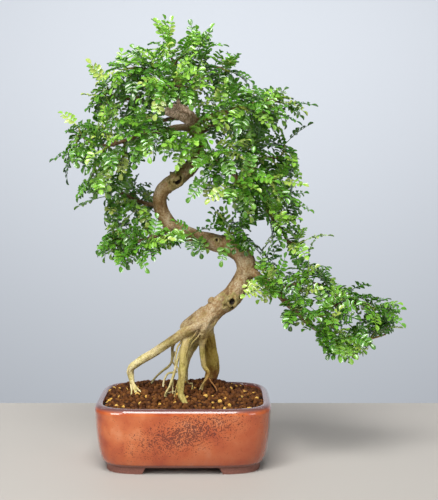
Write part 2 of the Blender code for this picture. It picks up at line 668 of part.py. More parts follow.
def grow_spray(limb, centres, wood, room, draw):
    """A spray's shoots: the first from its limb, and the others from the first."""
    carrier = smooth(metres(TRUNK if limb == "trunk" else LIMBS[limb]), SAMPLE_SPACING)
    shoots = []
    for centre in metres(centres):
        forked = bool(shoots)
        parent = shoots[0].rows if forked else carrier
        allowed = shoots[0].stem() if forked else (1, len(carrier) - 1)
        start, shoot = grow_shoot(parent, allowed, centre, forked, wood, room, draw)
        if forked:
            shoots[0].forks.append(start)
        shoots.append(shoot)
        room.add(shoot.rows[shoot.leaves_at:, :3], shoot.rows[shoot.leaves_at:, 3])
    return shoots


def grow_shoots():
    """The shoots of every spray, all grown before the first leaf."""
    wood = wood_room()
    room = Room()
    room.add(wood.centres, wood.radii)
    draw = random.Random(SEED)
    sprays = {}
    for limb, clumps in SPRAYS.items():
        for number, centres in enumerate(clumps, 1):
            sprays[f"spray_{limb}_{number}"] = grow_spray(limb, centres, wood, room, draw)
    return sprays, room


class Leaf:
    """Where a leaf grows and how it bends."""

    def __init__(self, root, ahead, facing, length, droop, fold):
        self.length = length
        self.droop = droop
        self.fold = fold
        beside = unit(numpy.cross(facing, ahead))
        above = numpy.cross(ahead, beside)
        self.root = root
        self.axes = numpy.array((ahead, beside, above))

    def place(self, along, across, height):
        """A point of the flat leaf, carried to where the bent leaf has it."""
        turn = self.droop * along / self.length
        bend = self.length / self.droop
        lift = height + self.fold * abs(across)
        local = ((bend + lift) * math.sin(turn), across,
                 (bend + lift) * math.cos(turn) - bend)
        return self.root + numpy.array(local) @ self.axes

    def samples(self):
        """Points spread over the leaflets, for keeping clear of other growth."""
        shares = [0.3, 0.44, 0.58, 0.72, 0.84]
        points = [self.place(share * self.length, side * LEAFLET_REACH * 0.75, 0)
                  for share in shares for side in (-1, 0, 1)]
        ends = [self.place(share * self.length, 0, 0) for share in (0.17, 0.97)]
        return numpy.array(points + ends)


def grow_end_leaf(shoot, room, draw):
    """The leaf that ends a shoot, turned until it is clear of everything grown before it."""
    root = shoot.rows[-1, :3]
    onward = heading(shoot.rows, len(shoot.rows) - 1)
    middles = metres(CROWN_MIDDLES)
    outward = root - min(middles, key=lambda middle: numpy.linalg.norm(root - middle))
    outward = unit(outward * (1, 1, LEAF_LEVEL))
    best = None
    for attempt in range(LEAF_TRIES):
        wander = LEAF_WANDER[0] + LEAF_WANDER[1] * attempt / LEAF_TRIES
        turn = numpy.array([draw.uniform(-1, 1) for _ in range(3)])
        ahead = unit(onward * LEAF_ONWARD + outward * LEAF_OUTWARD + turn * wander)
        tilt = numpy.array((draw.uniform(*LEAF_ROLLS), draw.uniform(*LEAF_TILTS), 1.0))
        leaf = Leaf(root, ahead, unit(tilt + outward * LEAF_FACE_OUT),
                    draw.uniform(*LEAF_LENGTHS), draw.uniform(*LEAF_DROOPS),
                    draw.uniform(*LEAF_FOLDS))
        space = room.clearance(leaf.samples(), LEAF_BALL)
        if best is None or space > best[0]:
            best = (space, leaf)
        if space > GAP:
            break
    room.add(best[1].samples(), LEAF_BALL)
    return best[1]


def leaf_outline(length):
    """Corners of a flat leaf on one side of the rib, from its foot to its tip."""
    start = PETIOLE_SHARE * length
    pitch = (RACHIS_SHARE - PETIOLE_SHARE) * length / LEAFLET_PAIRS
    corners = [(0, RIB_HALF_WIDTH)]
    for pair in range(LEAFLET_PAIRS):
        near = start + pair * pitch
        reach = LEAFLET_REACH * (0.86 + 0.14 * math.sin(math.pi * (pair + 1) / LEAFLET_PAIRS))
        corners += [(near, RIB_HALF_WIDTH), (near + 0.3 * pitch, reach * 0.88),
                    (near + 0.98 * pitch, reach)]
    end = RACHIS_SHARE * length
    corners += [(end, RIB_HALF_WIDTH), (end + 0.6 * (length - end), LEAFLET_REACH * 0.34)]
    return corners


def leaf_mesh(leaf):
    """A thin arched blade, cut to the rib between its leaflets, open at its foot.

    Returns the mesh and the four corners of the foot, in order round the shoot."""
    half = leaf_outline(leaf.length)
    right = [(along, -across) for along, across in half]
    left = [(along, across) for along, across in reversed(half)]
    mesh = bmesh.new()
    mesh.faces.new([mesh.verts.new((*corner, -LEAF_THICKNESS / 2))
                    for corner in right + [(leaf.length, 0)] + left])
    mesh.normal_update()
    bmesh.ops.triangulate(mesh, faces=mesh.faces[:])
    thicken(mesh, LEAF_THICKNESS)
    foot = [vert for vert in mesh.verts if vert.co.x == 0]
    foot.sort(key=lambda vert: math.atan2(vert.co.z, vert.co.y))
    end = [face for face in mesh.faces if all(vert in foot for vert in face.verts)]
    bmesh.ops.delete(mesh, geom=end, context="FACES_ONLY")
    for vert in mesh.verts:
        vert.co = leaf.place(*vert.co)
    return mesh, foot


def shoot_object(name, shoot, leaf):
    """A four-sided shoot that narrows into the foot of its end leaf, as one mesh."""
    mesh, foot = leaf_mesh(leaf)
    across = numpy.array(foot[0].co) - leaf.root
    twig = shoot.twig()
    for index in reversed(range(len(twig))):
        across = square_to(across, heading(twig, index))
    loft(mesh, tube_rings(twig, SHOOT_SIDES, across), onto=foot)
    face_outwards(mesh)
    return mesh_object(name, mesh)


def make_sprays(sprays, room, green, lime):
    """Every spray: its shoots and their end leaves in one body."""
    draw = random.Random(SEED)
    for name, shoots in sprays.items():
        first, *forks = [shoot_object(name, shoot, grow_end_leaf(shoot, room, draw))
                         for shoot in shoots]
        first.data.materials.append(lime if name in YOUNG_SPRAYS else green)
        if forks:
            combine(first, forks, "UNION")
            clean(first)


def main():
    for thing in list(bpy.data.objects):
        bpy.data.objects.remove(thing)
    sprays, room = grow_shoots()
    make_pot()
    black = material("drain_mesh_plastic", "1F2121", 0.5)
    make_screen("drain_screen_left", -DRAIN_X, black)
    make_screen("drain_screen_right", DRAIN_X, black)
    make_soil({name: root_route(name) for name in ROOTS})
    make_tree([shoots[0].stub_rings() for shoots in sprays.values()])
    make_sprays(sprays, room, material("leaf", "5C8733", 0.35),
                material("young_leaf", "9BBF3E", 0.35))
    stand = bpy.data.objects.new("pot_centre", None)
    bpy.context.scene.collection.objects.link(stand)
    stand.location = POT_CENTRE
    for thing in bpy.data.objects:
        if thing.type == "MESH":
            thing.parent = stand


main()
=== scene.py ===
# Sichuan pepper bonsai: the looks of the exposed-root tree, its glazed pot and its soil.
#
# Metres, +Z up, in the CAD model's frame. As there, every place below is measured from the
# middle of the pot, which stands POT_CENTRE away from the frame's origin.
# The routes of the wood and the growth of the shoots and their end leaves repeat the CAD
# model's, draw for draw, so that each fine spray stands where its solid does.

import math
import random

import bmesh
import bpy
import numpy
from mathutils import Matrix, Vector, noise
from mathutils.kdtree import KDTree


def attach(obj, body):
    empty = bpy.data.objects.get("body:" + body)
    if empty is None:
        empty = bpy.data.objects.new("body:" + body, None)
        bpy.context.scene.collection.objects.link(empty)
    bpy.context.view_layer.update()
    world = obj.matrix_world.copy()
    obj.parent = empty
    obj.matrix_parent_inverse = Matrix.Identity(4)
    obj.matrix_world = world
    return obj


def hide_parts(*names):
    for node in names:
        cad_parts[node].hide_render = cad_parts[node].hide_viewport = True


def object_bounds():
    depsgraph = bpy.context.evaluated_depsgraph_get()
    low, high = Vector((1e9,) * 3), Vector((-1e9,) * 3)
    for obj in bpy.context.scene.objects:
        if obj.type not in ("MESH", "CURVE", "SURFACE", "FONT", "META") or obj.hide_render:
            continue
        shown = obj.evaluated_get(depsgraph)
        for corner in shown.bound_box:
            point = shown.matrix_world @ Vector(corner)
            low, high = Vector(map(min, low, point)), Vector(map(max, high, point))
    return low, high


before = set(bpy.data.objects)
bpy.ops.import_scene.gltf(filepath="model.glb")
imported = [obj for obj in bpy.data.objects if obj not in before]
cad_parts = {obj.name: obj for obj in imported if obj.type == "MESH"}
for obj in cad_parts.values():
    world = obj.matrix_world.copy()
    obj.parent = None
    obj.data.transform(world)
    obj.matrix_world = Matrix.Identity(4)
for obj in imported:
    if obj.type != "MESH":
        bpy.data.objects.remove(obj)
cad_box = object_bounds()

MM = 0.001
GAP = 0.3 * MM          # between two bodies that touch
SEED = 20

# Where the middle of the pot stands in the object's own frame
POT_CENTRE = Vector((-68.0, -9.5, 0.0)) * MM

# Pot: a rounded oblong, narrower at the foot, with a rolled lip
POT_HALF_LENGTH = 119 * MM
POT_HALF_WIDTH = 90 * MM
POT_SQUARENESS = 5.0    # 2 would be an ellipse
FLOOR_TOP = 17 * MM
FOOT_OUTSIDE = 14 * MM      # in from the lip's widest line
FOOT_INSIDE = 27 * MM
FOOT_ROOT = 12 * MM         # the feet run up into the floor to here
FRONT_ARCH = 54 * MM        # half the gap between two feet, along the long sides
SIDE_ARCH = 38 * MM         # and along the short sides
DRAIN_RADIUS = 9 * MM
DRAIN_X = 45 * MM

# Soil: coarse grains, heaped a little towards the roots
SOIL_EDGE = 83 * MM
SOIL_RISE = 8 * MM
ROOT_FOOT = 66 * MM         # how high the buried root ends are

# Wood, in millimetres: x, y, z and radius along each route
TRUNK = [(10, 1, 177, 15.5), (23, -1, 193, 15.5), (37, -3, 204, 14), (50, -4, 215, 13.4),
         (64, -4, 226, 14.5), (77.4, -1, 246, 13), (86.4, 3, 267, 13.3), (78, 6, 288, 13),
         (52, 8, 299, 12), (16, 9, 309.5, 10.5), (-17, 6, 325, 9.7), (-31.6, 1, 352, 10.1),
         (-29, -3, 373, 9.6), (-8.4, -5, 389.6, 10.6), (12.4, -2, 409.6, 9.8),
         (20, 3, 440, 8.2), (12, 8, 471, 7.6), (-3, 9, 490, 6), (-9, 7, 520, 4),
         (-15, 5, 549, 2.4)]
ROOTS = {
    "left_arch": [(24, -13, 192, 7), (12, -16, 187, 6.5), (2, -15, 181, 6.4),
                  (-10, -10, 172, 6.6), (-26, -2, 160.5, 6.2), (-41, 6, 148.4, 6),
                  (-65, 14, 132.6, 5.6), (-76, 19, 121.6, 5.2), (-75, 19, 109, 4.2),
                  (-72, 14, 99, 3.2), (-67, 4, 91, 2.4), (-62, -6, 84, 1.8)],
    "front_leg": [(13, -4, 180, 7), (4, -12, 165, 6.2), (0, -20, 148, 5.6), (-1, -26, 126, 5.4),
                  (-3, -30, 108, 4.9), (-3, -38, 97, 3.8), (2, -46, 87, 3.6)],
    "right_leg": [(27, 6, 184, 9.5), (34, 20, 165, 9.2), (37, 36, 142, 9.4), (40, 48, 117, 10),
                  (36, 54, 101, 9), (35, 56, 88, 9)],
    "inner_leg": [(24, -6, 180, 6), (24.6, -3, 164, 4.5), (25.6, 2, 145, 4.1), (27.6, 6, 129, 3.4),
                  (34, 9, 117, 2.6), (28, 8, 106, 2.2), (24, 7, 94, 2)],
    "back_leg": [(22, 6, 176, 7), (15, 18, 156, 5), (6, 30, 140, 4.4), (1, 40, 121, 4),
                 (0, 44, 102, 3.8), (0, 44, 88, 3.6)],
    "thin_drop": [(-8, 0, 170, 3), (-16, 6, 157, 2.3), (-17, 14, 139, 2.1), (-21, 22, 127, 2),
                  (-33, 34, 115, 1.9), (-43, 44, 104, 1.8), (-50, 48, 91, 1.8)],
    "thin_fork": [(3, -4, 172, 3), (-5, -6, 152, 2.4), (-10, -8, 136, 2.2), (-14, -10, 120, 2.1),
                  (-20, -12, 103, 2), (-25, -13, 92, 1.9)],
}
LIMBS = {
    "low_right": [(90, 0, 266, 7), (103, -12, 256, 5.5), (118, -20, 246, 4.8),
                  (134, -24, 229, 4.2), (155, -22, 208, 3.6), (176, -18, 189, 3.2),
                  (201, -14, 173, 2.6), (232, -8, 167, 2.2), (260, -4, 170, 1.7),
                  (280, 0, 175, 1.4)],
    "low_right_rise": [(126, -22, 237, 3.4), (146, -8, 244, 2.6), (169, 6, 247, 2),
                       (189, 14, 243, 1.6)],
    "low_right_top": [(164, -20, 198, 3), (182, -8, 207, 2.4), (205, 2, 214, 2),
                      (230, 6, 218, 1.6), (252, 4, 217, 1.4)],
    "low_left": [(-11, 4, 325, 5.5), (-28, -14, 318, 4), (-47, -24, 309, 3.2),
                 (-69, -28, 305, 2.4), (-88, -24, 309, 1.8)],
    "left_mid": [(-32, 2, 352, 5), (-50, 12, 355, 3.4), (-69, 18, 361, 2.6), (-87, 16, 370, 2.1),
                 (-99, 10, 378, 1.6)],
    "left_tier": [(14, 4, 460, 6), (-9, -18, 458, 4.4), (-35, -32, 452, 3.6), (-64, -38, 445, 3),
                  (-93, -38, 435, 2.4), (-118, -34, 436, 1.8), (-131, -30, 444, 1.4)],
    "left_upper": [(1, 9, 485, 5.5), (-25, 24, 491, 4), (-53, 30, 496, 3.2), (-80, 28, 500, 2.4),
                   (-102, 20, 502, 1.7)],
    "left_back": [(9, 10, 474, 4.6), (-17, 38, 473, 3.2), (-44, 56, 468, 2.4),
                  (-64, 64, 462, 1.7)],
    "apex_left": [(-7, 8, 509, 3.8), (-27, -8, 524, 2.8), (-46, -18, 534, 2.2),
                  (-65, -20, 539, 1.6)],
    "apex_right": [(-9, 8, 517, 3.6), (10, 12, 534, 2.8), (31, 14, 542, 2.2), (53, 14, 541, 1.6)],
    "apex_front": [(-6, 6, 501, 4), (-6, -22, 507, 2.8), (-10, -46, 513, 2)],
    "apex_back": [(-8, 10, 507, 4), (-3, 34, 519, 2.8), (2, 58, 530, 2)],
    "right_upper": [(17, 6, 466, 6), (36, -8, 473, 4.4), (58, -20, 479, 3.4), (82, -24, 486, 2.8),
                    (106, -18, 493, 2.2), (128, -12, 497, 1.6)],
    "right_back": [(18, 6, 449, 5), (39, 34, 464, 3.6), (67, 52, 475, 2.6), (92, 58, 476, 1.9)],
    "right_mid": [(20, 0, 427, 6), (39, -2, 417, 4.8), (61, 0, 411, 4), (85, 2, 414, 3.2),
                  (110, 4, 418, 2.6), (135, 4, 419, 1.9)],
    "right_front": [(44, -2, 415, 4.2), (58, -24, 404, 3.2), (71, -38, 393, 2.6),
                    (87, -42, 382, 1.9)],
    "right_hang": [(77, 2, 411, 3.8), (94, -2, 398, 3.2), (107, -4, 376, 3), (111, -6, 354, 2.7),
                   (122, -6, 336, 2.3), (135, -4, 318, 1.8), (142, -2, 302, 1.4)],
}
# Old cuts, healed over: place on the wood's axis, where each faces, how far out, and how wide
KNOTS = [((63, -4, 224), (0.15, -1, -0.1), 14.6, 8.6), ((80, 6, 289), (0.1, -1, 0.4), 14, 4.5),
         ((44, 8, 304), (0.1, -1, 0.2), 13, 4), ((-12, -5, 391), (0.4, -0.9, -0.4), 10.6, 9)]
DEAD_STUBS = [((9, 4, 471), (-24, -7, 481), 6.6), ((48, -4, 212), (36, -9, 224.5), 5.2)]

BROKEN_LIMB = (-12, 2, 477)     # the middle of the first stub's bare wood

# Foliage, in millimetres: for each limb its sprays, and for each spray its clumps' middles
SPRAYS = {
    "trunk": [[(-25, 5, 585)], [(8, 6, 569), (32, 12, 566)], [(2, -34, 456), (-3, -32, 427)],
              [(64, -6, 324), (89, 8, 309)], [(12, -26, 316)]],
    "apex_left": [[(-32, -36, 545), (-56, 8, 552)], [(-84, -14, 535), (-63, -40, 518)]],
    "apex_right": [[(26, -22, 544)], [(66, 0, 533), (50, 36, 530)]],
    "apex_front": [[(-12, -70, 513), (-33, -62, 501)], [(13, -58, 509)]],
    "apex_back": [[(-14, 72, 546)], [(28, 84, 526)]],
    "left_upper": [[(-105, 4, 517), (-119, 22, 494)], [(-68, 52, 521), (-88, 50, 484)],
                   [(-45, -4, 479)]],
    "left_tier": [[(-132, -30, 446), (-146, -26, 414)], [(-104, -60, 427), (-126, -42, 380)],
                  [(-97, -26, 462), (-118, -8, 468)], [(-76, -24, 422), (-91, -12, 390)],
                  [(-56, -64, 470), (-44, -58, 432)]],
    "left_back": [[(-84, 88, 446), (-46, 84, 484)]],
    "left_mid": [[(-104, -4, 366), (-100, 0, 337)], [(-62, -4, 349)],
                 [(-80, 44, 372), (-61, 48, 369)]],
    "low_left": [[(-92, -16, 307), (-77, -48, 300), (-95, -30, 323)],
                 [(-54, -40, 300), (-22, -38, 315)], [(-74, 0, 324)]],
    "right_upper": [[(42, -40, 490)], [(73, -50, 488), (91, -58, 476), (124, -40, 474)],
                    [(104, 8, 492), (146, -8, 494)]],
    "right_back": [[(44, 84, 478), (79, 92, 490)], [(115, 60, 468), (96, 84, 449)]],
    "right_mid": [[(74, -18, 438), (106, -20, 441)], [(136, 8, 430), (146, 2, 403)],
                  [(95, 40, 394), (132, 44, 397)]],
    "right_front": [[(34, -58, 432), (65, -70, 432)], [(29, -40, 387)],
                    [(65, -66, 377), (99, -64, 395), (95, -50, 366)]],
    "right_hang": [[(139, -22, 387), (158, 2, 350)], [(80, -6, 365)],
                   [(127, -28, 338), (104, -32, 352)], [(150, -4, 304)]],
    "low_right": [[(116, -2, 274)], [(106, -44, 241), (138, -46, 260)], [(150, -44, 216)],
                  [(200, -28, 176), (182, -44, 193)], [(226, -30, 178)],
                  [(257, 14, 167), (276, 0, 190)]],
    "low_right_rise": [[(174, 14, 271)], [(198, 16, 239)], [(162, -18, 235)]],
    "low_right_top": [[(188, -28, 203), (219, -18, 207)], [(228, 12, 224), (205, 26, 223)],
                      [(262, -4, 211)]],
}
# The crown and the low limb's foliage each spread round a middle of their own
CROWN_MIDDLES = [(0, 5, 440), (195, -5, 205)]
YOUNG_SPRAYS = ["spray_trunk_1", "spray_trunk_2", "spray_trunk_3"]

# How a shoot grows
SHOOT_BASE = 1.7 * MM       # radius
SHOOT_TIP = 1.1 * MM
SHOOT_LEAST = 14 * MM       # shortest shoot
SHOOT_STEPS = 12            # rows along its curve
SHOOT_AHEAD = 0.5           # it sets off along its stem by this much
SHOOT_BOW = 0.42            # and the middle of its curve lies this share of its reach out
SHOOT_SET_BACK = 0.3        # it leaves the limb this share of its reach nearer to the trunk
STUB_CLEAR = 1.9 * MM       # the stub ends this far off the limb's bark
FORK_CLEAR = 2.6 * MM       # a fork leaves a shoot at least this far past its stub
FORK_SHARE = 0.6            # radius of its foot, which stays inside that shoot
SHOOT_TRIES = 40
SHOOT_SWAY = 0.12           # how far its curve may sway at the first try, as a share of it
SHOOT_SPREAD = 0.5          # and how much further at the last
SHOOT_TURN = 0.6            # how much of that spread also turns its tip
ROOM_ENOUGH = 0.9           # a try is kept once it is this share of STUB_CLEAR off the rest
SAMPLE_SPACING = 4 * MM     # between the places at which growth is kept apart
BENDS_APART = 3             # rows between two places that its solid bends at
STRAIGHT_SAMPLES = 12       # along each straight stretch of its solid

# How a compound leaf grows
LEAF_LENGTHS = (34 * MM, 54 * MM)
LEAF_LEAD = 14 * MM         # a shoot ends this far short of its clump's middle
LEAFLET_REACH = 9.2 * MM    # from the rib to the leaflet's tip
PETIOLE_SHARE = 0.2
RACHIS_SHARE = 0.78
LEAF_FOOT = 4 * MM          # over this length a shoot's end narrows to its end leaf's foot
LEAF_LEVEL = 0.6            # it points out of the crown, but up or down by only this share
LEAF_FACE_OUT = 0.3         # its upper face also turns out of the crown by this much
# Shares of its length at which its room is kept: over its leaflets, then at its two ends
LEAF_STATIONS = [0.3, 0.44, 0.58, 0.72, 0.84]
LEAF_ENDS = [0.17, 0.97]
LEAF_SIDE = 0.75 * LEAFLET_REACH        # and this far out from the rib
# Its habits: how many tries; how much it follows its stem, and points aside and out of the
# crown; how far it may turn aside at the first try, and how much further at the last; its roll
# and tilt; its length; how far it bends down along it, in radians; how steeply its two sides
# rise from the rib; the room kept round each sample; and how much room is enough
END_HABIT = {"tries": 60, "onward": 0.8, "aside": 0, "outward": 0.45, "wander": (0.2, 0.9),
             "rolls": (-0.6, 0.6), "tilts": (-0.9, 0.3), "lengths": LEAF_LENGTHS,
             "droops": (0.25, 1.0), "folds": (-0.2, 0.35), "ball": 3.6 * MM, "enough": GAP}
SIDE_HABIT = {"tries": 26, "onward": 0.4, "aside": 0.75, "outward": 0.35, "wander": (0.25, 1.0),
              "rolls": (-0.6, 0.6), "tilts": (-1.0, 0.2), "lengths": (30 * MM, 50 * MM),
              "droops": (0.2, 0.9), "folds": (-0.15, 0.35), "ball": 2.1 * MM, "enough": 0}

# Fine wood
FINE_SPACING = 3 * MM
TRUNK_ROUND = 36
THIN_ROUND = 14
HAIR_ROUND = 7
THICK_WOOD = 6 * MM         # wood that starts thicker than this is followed more finely
VOXEL = 1.2 * MM            # the wood's stretches are fused into one skin of this fineness
SKIN_SMOOTHING = 3
KNOT_RIM = 1.5 * MM
KNOT_DEPTH = 0.85           # of its hollow, as a share of its width
KNOT_RIM_SPREAD = 0.3       # shares of its width too, as are the next three
KNOT_HOLLOW = 0.48
KNOT_SOFTNESS = 0.08        # of its hollow's edge
KNOT_REACH = 1.6            # how deep in the wood it still shapes the bark
KNOT_RIM_DARK = 0.35
KNOT_RAGS = [(170, 0.8), (420, 0.2)]        # waves to a metre in its outline, and how much
KNOT_SUNK = 3.5             # how deep the ball of wood that it sits on lies, in millimetres
KNOT_BALL = 1.2             # radius of that ball, as a share of the knot's width
STUB_FOOT = 1.3             # a dead stub is this much thicker at its foot
STUB_END = 0.8              # and this much thinner at its end
STUB_RISE = 1.2             # its middle lies this much higher, in millimetres
COLLAR = 1.15               # a spray's stub is this much thicker than its shoot
HAIR_WANDER = 1.6 * MM      # how far a hair root strays from its route
# Bark relief: how many waves to a metre, and how far they stand out
SWELLS = 38
SWELL_SHARE = 0.1           # of the wood's radius
FLUTES = (260, 75)          # round the wood, and along it
FLUTE_HEIGHTS = (0.85 * MM, 0.7 * MM)       # on the trunk and limbs, and on the roots
ROUGHNESS = 420
ROUGH_HEIGHT = 0.22 * MM
PLATES = (520, 330)
PLATE_HEIGHT = 0.38 * MM
FULL_BARK = 4 * MM          # wood thinner than this has less relief
THICK_GIRTH = 14 * MM       # the bark's colour is scaled to wood of this radius
RELIEF_SPAN = 2.4 * MM      # and to this much relief
HAIR_GIRTH = 0.35

# Fine roots that show between the thick ones, too thin for the CAD model
FINE_ROOTS = [
    [(21, -19, 186, 1.3), (15, -20, 177, 1.1), (10, -20, 172, 0.9), (6, -21, 162, 0.8),
     (3, -26, 152, 0.7), (1, -30, 138, 0.6)],
    [(22, -16, 180, 1.2), (18, -17, 173, 1), (11, -18, 165, 0.9), (8, -14, 156, 0.8),
     (7, -10, 144, 0.7)],
    [(-13, 10, 148, 1.5), (-17, 16, 136, 1.3), (-14, 24, 124, 1.1), (-16, 30, 108, 1),
     (-20, 33, 88, 0.9)],
    [(-12, 14, 119, 1.6), (-17, 18, 117, 1.6), (-23, 20, 116, 1.5), (-27, 20, 111, 1.5),
     (-30, 20, 102, 1.4), (-31, 20, 90, 1.3)],
    [(-12, -10, 126, 1.2), (-14, -10, 114, 1), (-16, -10, 102, 0.9), (-15, -11, 90, 0.8)],
    [(-17, -11, 108, 1.4), (-22, -14, 101, 1.2), (-25, -17, 94, 1), (-27, -19, 88, 0.8)],
    [(-27, -9, 92, 0.9), (-20, -6, 94, 1), (-12, -3, 94, 0.9)],
    [(3, -18, 118, 1.2), (7, -8, 108, 1), (11, 4, 104, 0.9), (9, 6, 92, 0.8)],
    [(31, 12, 120, 1.3), (33, 8, 112, 1.2), (26, 5, 104, 1), (21, 3, 94, 0.9)],
    [(34, 9, 113, 1.2), (40, 6, 104, 1), (44, 3, 98, 0.9), (48, 0, 90, 0.7)],
    [(-74, 18, 104, 2.2), (-69, 9, 96, 1.7), (-66, 0, 90, 1.3), (-65, -6, 84, 1)],
    [(-73, 17, 103, 2.2), (-66, 9, 97, 1.6), (-60, 2, 91, 1.2), (-56, -3, 85, 1)],
    [(-75, 18, 102, 1.8), (-74, 8, 94, 1.3), (-74, 1, 88, 1)],
    [(-2, -36, 99, 2.6), (4, -45, 91, 1.9), (10, -52, 84, 1.3)],
    [(4, -8, 176, 1.8), (-8, -14, 160, 1.3), (-11, -18, 142, 1), (-6, -22, 122, 0.9),
     (-10, -24, 104, 0.8), (-13, -26, 88, 0.7)],
]

# Leaves in full: pairs of leaflets on a rib, with one leaflet at its end
LEAF_KINDS = [3, 4, 4, 5, 5]        # pairs of leaflets, from the shortest leaf to the longest
LEAF_PATTERNS = 4                   # of each kind
LEAF_KIND_LENGTHS = (30 * MM, 54 * MM)
RIB_RADII = (0.75 * MM, 0.4 * MM)
RIB_SIDES = 3
RIB_END = 0.86                      # share of the leaf's length
END_LEAFLET_AT = 0.83
END_LEAFLET_SIZE = (1.05, 1.1)      # its length and width, as shares of a leaflet's
END_LEAFLET_TURN = 0.2              # radians to either side
PAIR_SET = 0.55                     # where in its share of the rib each pair sits
LEAFLET_FORWARD = (56, 74)          # degrees from the rib
LEAFLET_STAGGER = 0.6 * MM
LEAFLET_ROLL = (-0.35, 0.35)        # radians
LEAFLET_PITCH = (-0.3, 0.25)
LEAFLET_SIZES = (0.9, 1.1)
LEAFLET_LENGTH = 10 * MM
LEAFLET_WIDTH = 6 * MM
LEAFLET_THICKNESS = 0.4 * MM
LEAFLET_RISE = 0.16                 # how far its sides rise, as a share of its length
LEAFLET_ARCH = 0.13                 # and how far its tip droops
# Along a leaflet: share of its length and of its width
LEAFLET_OUTLINE = [(0, 0), (0.12, 0.46), (0.38, 0.9), (0.68, 1), (0.9, 0.62), (1, 0)]
SIDE_LEAVES = 8                     # along each shoot, besides its end leaf
SIDE_SHY = 12 * MM                  # growth within its length and this is kept clear of
SIDE_CROWDING = 1.6                 # balls may overlap by this share of one, or it isn't grown
BOX_SPARE = 5 * MM                  # a leaf may pass the CAD model's box by this much
NEAR_SAMPLES = 3                    # its first samples, at the stem, may touch other growth
TINTS = (0.02, 0.8)                 # of leaves, from dark to pale
STEM_TINT = 0.5
STEM_SIDES = 6
STEM_TAPER = 0.75                   # a shoot's end is this much thinner than in the CAD model
SPUR_SPACING = 11 * MM              # between the leaves that grow straight from the limbs
GOLDEN_TURN = 2.4                   # radians round the stem from one leaf to the next

# Air that stays open, seen from the front: x, z and radius, and from how far to how near
OPEN_AIR = [((-46, 402), 12, (-70, 70)), ((14, 346), 19, (-70, 70)),
            ((106, 316), 13, (-70, 70)), ((-8, 470), 14, (-70, -22)),
            ((-32, 366), 13, (-60, -16)), ((18, 313), 13, (-60, -22)),
            ((80, 268), 15, (-60, -20)), ((-26, 396), 12, (-60, -20)),
            ((60, 225), 18, (-60, -20))]

# Tips of leaves that reach out of the crown, each from the nearest stem that suits
REACHING_TIPS = [(-15, 6, 609), (10, 6, 604), (40, 10, 600), (-127, -6, 551), (-178, -28, 416),
                 (-161, -24, 402), (-144, -30, 361), (182, -8, 491), (164, -4, 472), (178, 0, 346),
                 (186, 8, 262), (170, 0, 372), (166, -4, 322), (306, -4, 212), (36, -14, 346),
                 (46, -6, 330), (26, -14, 284), (50, -12, 272), (-24, -26, 298), (-8, -26, 304),
                 (-30, -34, 460), (0, -32, 492), (-40, -30, 476), (-24, -28, 496),
                 (-16, -34, 447), (-42, -40, 462), (-2, -30, 448), (-37, 6, 607), (38, 4, 592),
                 (-84, 0, 566), (-70, 0, 570), (-136, 0, 506), (-132, 0, 484), (140, 0, 514),
                 (132, -10, 458), (160, -10, 344), (156, -10, 320), (100, -20, 222),
                 (112, -20, 225), (120, -20, 222), (102, -16, 300), (108, -16, 290), (42, -20, 446),
                 (40, -10, 352), (52, -10, 350)]
REACHING_LENGTHS = (30 * MM, 56 * MM)
REACHING_DROOP = 0.12
REACHING_FOLD = 0.1

# The crown's outline in the photograph's pixels, which no leaf along a shoot passes
CROWN_OUTLINE = [
    (155, 14), (176, 14), (171, 38), (181, 42), (186, 33), (190, 22), (197, 24), (214, 26),
    (214, 32), (204, 36), (213, 42), (222, 49), (240, 49), (248, 60), (233, 66), (246, 78),
    (251, 85), (287, 86), (304, 97), (315, 105), (303, 109), (304, 119), (288, 114), (288, 133),
    (286, 145), (303, 155), (300, 166), (299, 178), (302, 188), (293, 192), (298, 200),
    (313, 213), (303, 218), (307, 228), (304, 240), (311, 253), (323, 265), (332, 268),
    (333, 277), (345, 281), (347, 290), (356, 293), (382, 292), (400, 296), (407, 304),
    (400, 311), (402, 330), (389, 335), (378, 342), (366, 351), (362, 363), (337, 362),
    (319, 355), (316, 335), (309, 327), (288, 330), (278, 318), (279, 297), (253, 304),
    (246, 297), (240, 266), (222, 267), (213, 262), (206, 255), (196, 252), (180, 246),
    (163, 252), (150, 262), (128, 269), (112, 263), (95, 256), (97, 247), (106, 235),
    (104, 213), (104, 198), (80, 203), (82, 190), (79, 178), (66, 169), (56, 157), (67, 140),
    (62, 130), (75, 124), (96, 120), (86, 110), (87, 96), (98, 79), (106, 68), (89, 63),
    (96, 58), (111, 62), (120, 50), (134, 46), (152, 43), (162, 38)]

# Fluted foot of the trunk: ridges that run down into the roots
RIDGES = [
    [(32, 2, 205, 12), (19, 2, 195, 11.5), (7, 3, 187, 10.5), (0, 5, 179, 8)],
    [(48, -9, 211, 7), (34, -13, 200, 7), (20, -16, 190, 6.5), (9, -17, 185, 6)],
    [(44, -12, 207, 5.5), (33, -16, 196, 5), (27, -16, 184, 5), (25, -9, 172, 4.2)],
    [(50, -6, 206, 6), (40, -9, 194, 6), (31, -8, 180, 5), (27, -4, 164, 3.8)],
    [(45, 4, 204, 6.5), (35, 10, 190, 8), (33, 17, 174, 8.2), (36, 30, 152, 8.6)],
    [(34, 12, 200, 7), (24, 14, 184, 7), (16, 18, 168, 5.4), (10, 25, 150, 4.4)],
]

